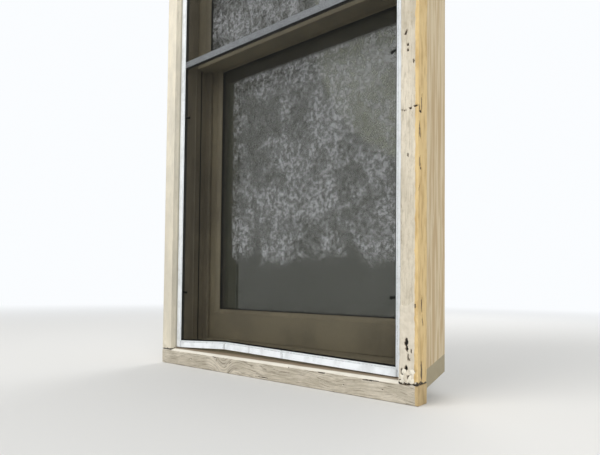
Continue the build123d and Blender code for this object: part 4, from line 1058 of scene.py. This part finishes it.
def studio_floor_paint():
    """Pale floor that keeps the object's shadow nearby and goes over into the bright background."""
    paint = Finish("pale studio floor", srgb(222, 221, 218), 0.85)
    tree = paint.tree
    away = paint.node("VectorMath", [("operation", "LENGTH")], _0=paint.place).outputs["Value"]
    far = paint.window(away, *FLOOR_ENDS)
    glow = paint.node("Emission", Color=BACKGROUND, Strength=background_strength(tree))
    blend = paint.node("MixShader", _0=far, _1=paint.shader.outputs[0], _2=glow.outputs[0])
    tree.links.new(blend.outputs[0], tree.nodes["Material Output"].inputs["Surface"])
    return paint.material


def soft_light(name, place, aim, size, power):
    """A large soft lamp that isn't seen in the panes."""
    lamp = bpy.data.lights.new(name, "AREA")
    lamp.shape = "DISK"
    lamp.size = size
    lamp.energy = power
    holder = bpy.data.objects.new(name, lamp)
    holder.location = place
    holder.visible_glossy = False
    holder.rotation_euler = (Vector(aim) - Vector(place)).to_track_quat("-Z", "Y").to_euler()
    scene.collection.objects.link(holder)


hold()
bpy.ops.mesh.primitive_plane_add(size=60, location=(0, 0, -0.5 * MM))
floor = bpy.context.object
floor.name = "studio_floor"
floor.data.materials.append(studio_floor_paint())

scene = bpy.context.scene
world = bpy.data.worlds.new("studio")
world.use_nodes = True
scene.world = world
background = world.node_tree.nodes["Background"]
background.inputs["Color"].default_value = BACKGROUND
world.node_tree.links.new(background_strength(world.node_tree), background.inputs["Strength"])

soft_light("sky_key", (-0.8, -3.0, 4.2), (0.1, 0, 0.6), 3.0, 115)
soft_light("front_fill", (2.8, -2.4, 1.6), (0.0, 0, 0.7), 2.4, 60)
soft_light("room_fill", (-0.8, 3.0, 2.4), (0, 0, 0.9), 2.4, 50)

# The photograph's view: eye, heading to the left of straight ahead, pitch and roll. The focal length and the
# row of the picture's optical centre are in its pixels.
EYE = (0.8159, -0.9023, 0.2244)
HEADING = math.radians(39.215)
PITCH = math.radians(1.779)
ROLL = math.radians(0.567)
PHOTO_WIDTH = 600
PHOTO_HEIGHT = 455
FOCAL_PIXELS = 496.0
CENTRE_ROW = 269.99
SENSOR = 36

camera_data = bpy.data.cameras.new("photo_view")
camera = bpy.data.objects.new("photo_view", camera_data)
scene.collection.objects.link(camera)
scene.camera = camera
level = math.cos(PITCH)
ahead = Vector((-math.sin(HEADING) * level, math.cos(HEADING) * level, math.sin(PITCH)))
aside = ahead.cross(Vector((0, 0, 1))).normalized()
upright = aside.cross(ahead)
right = aside * math.cos(ROLL) + upright * math.sin(ROLL)
up = upright * math.cos(ROLL) - aside * math.sin(ROLL)
turn = Matrix((right, up, -ahead)).transposed().to_4x4()
camera.matrix_world = Matrix.Translation(EYE) @ turn
camera_data.sensor_width = SENSOR
camera_data.lens = SENSOR * FOCAL_PIXELS / PHOTO_WIDTH
camera_data.shift_y = (CENTRE_ROW - PHOTO_HEIGHT / 2) / PHOTO_WIDTH
camera_data.clip_start = 0.02

scene.view_settings.view_transform = "Standard"
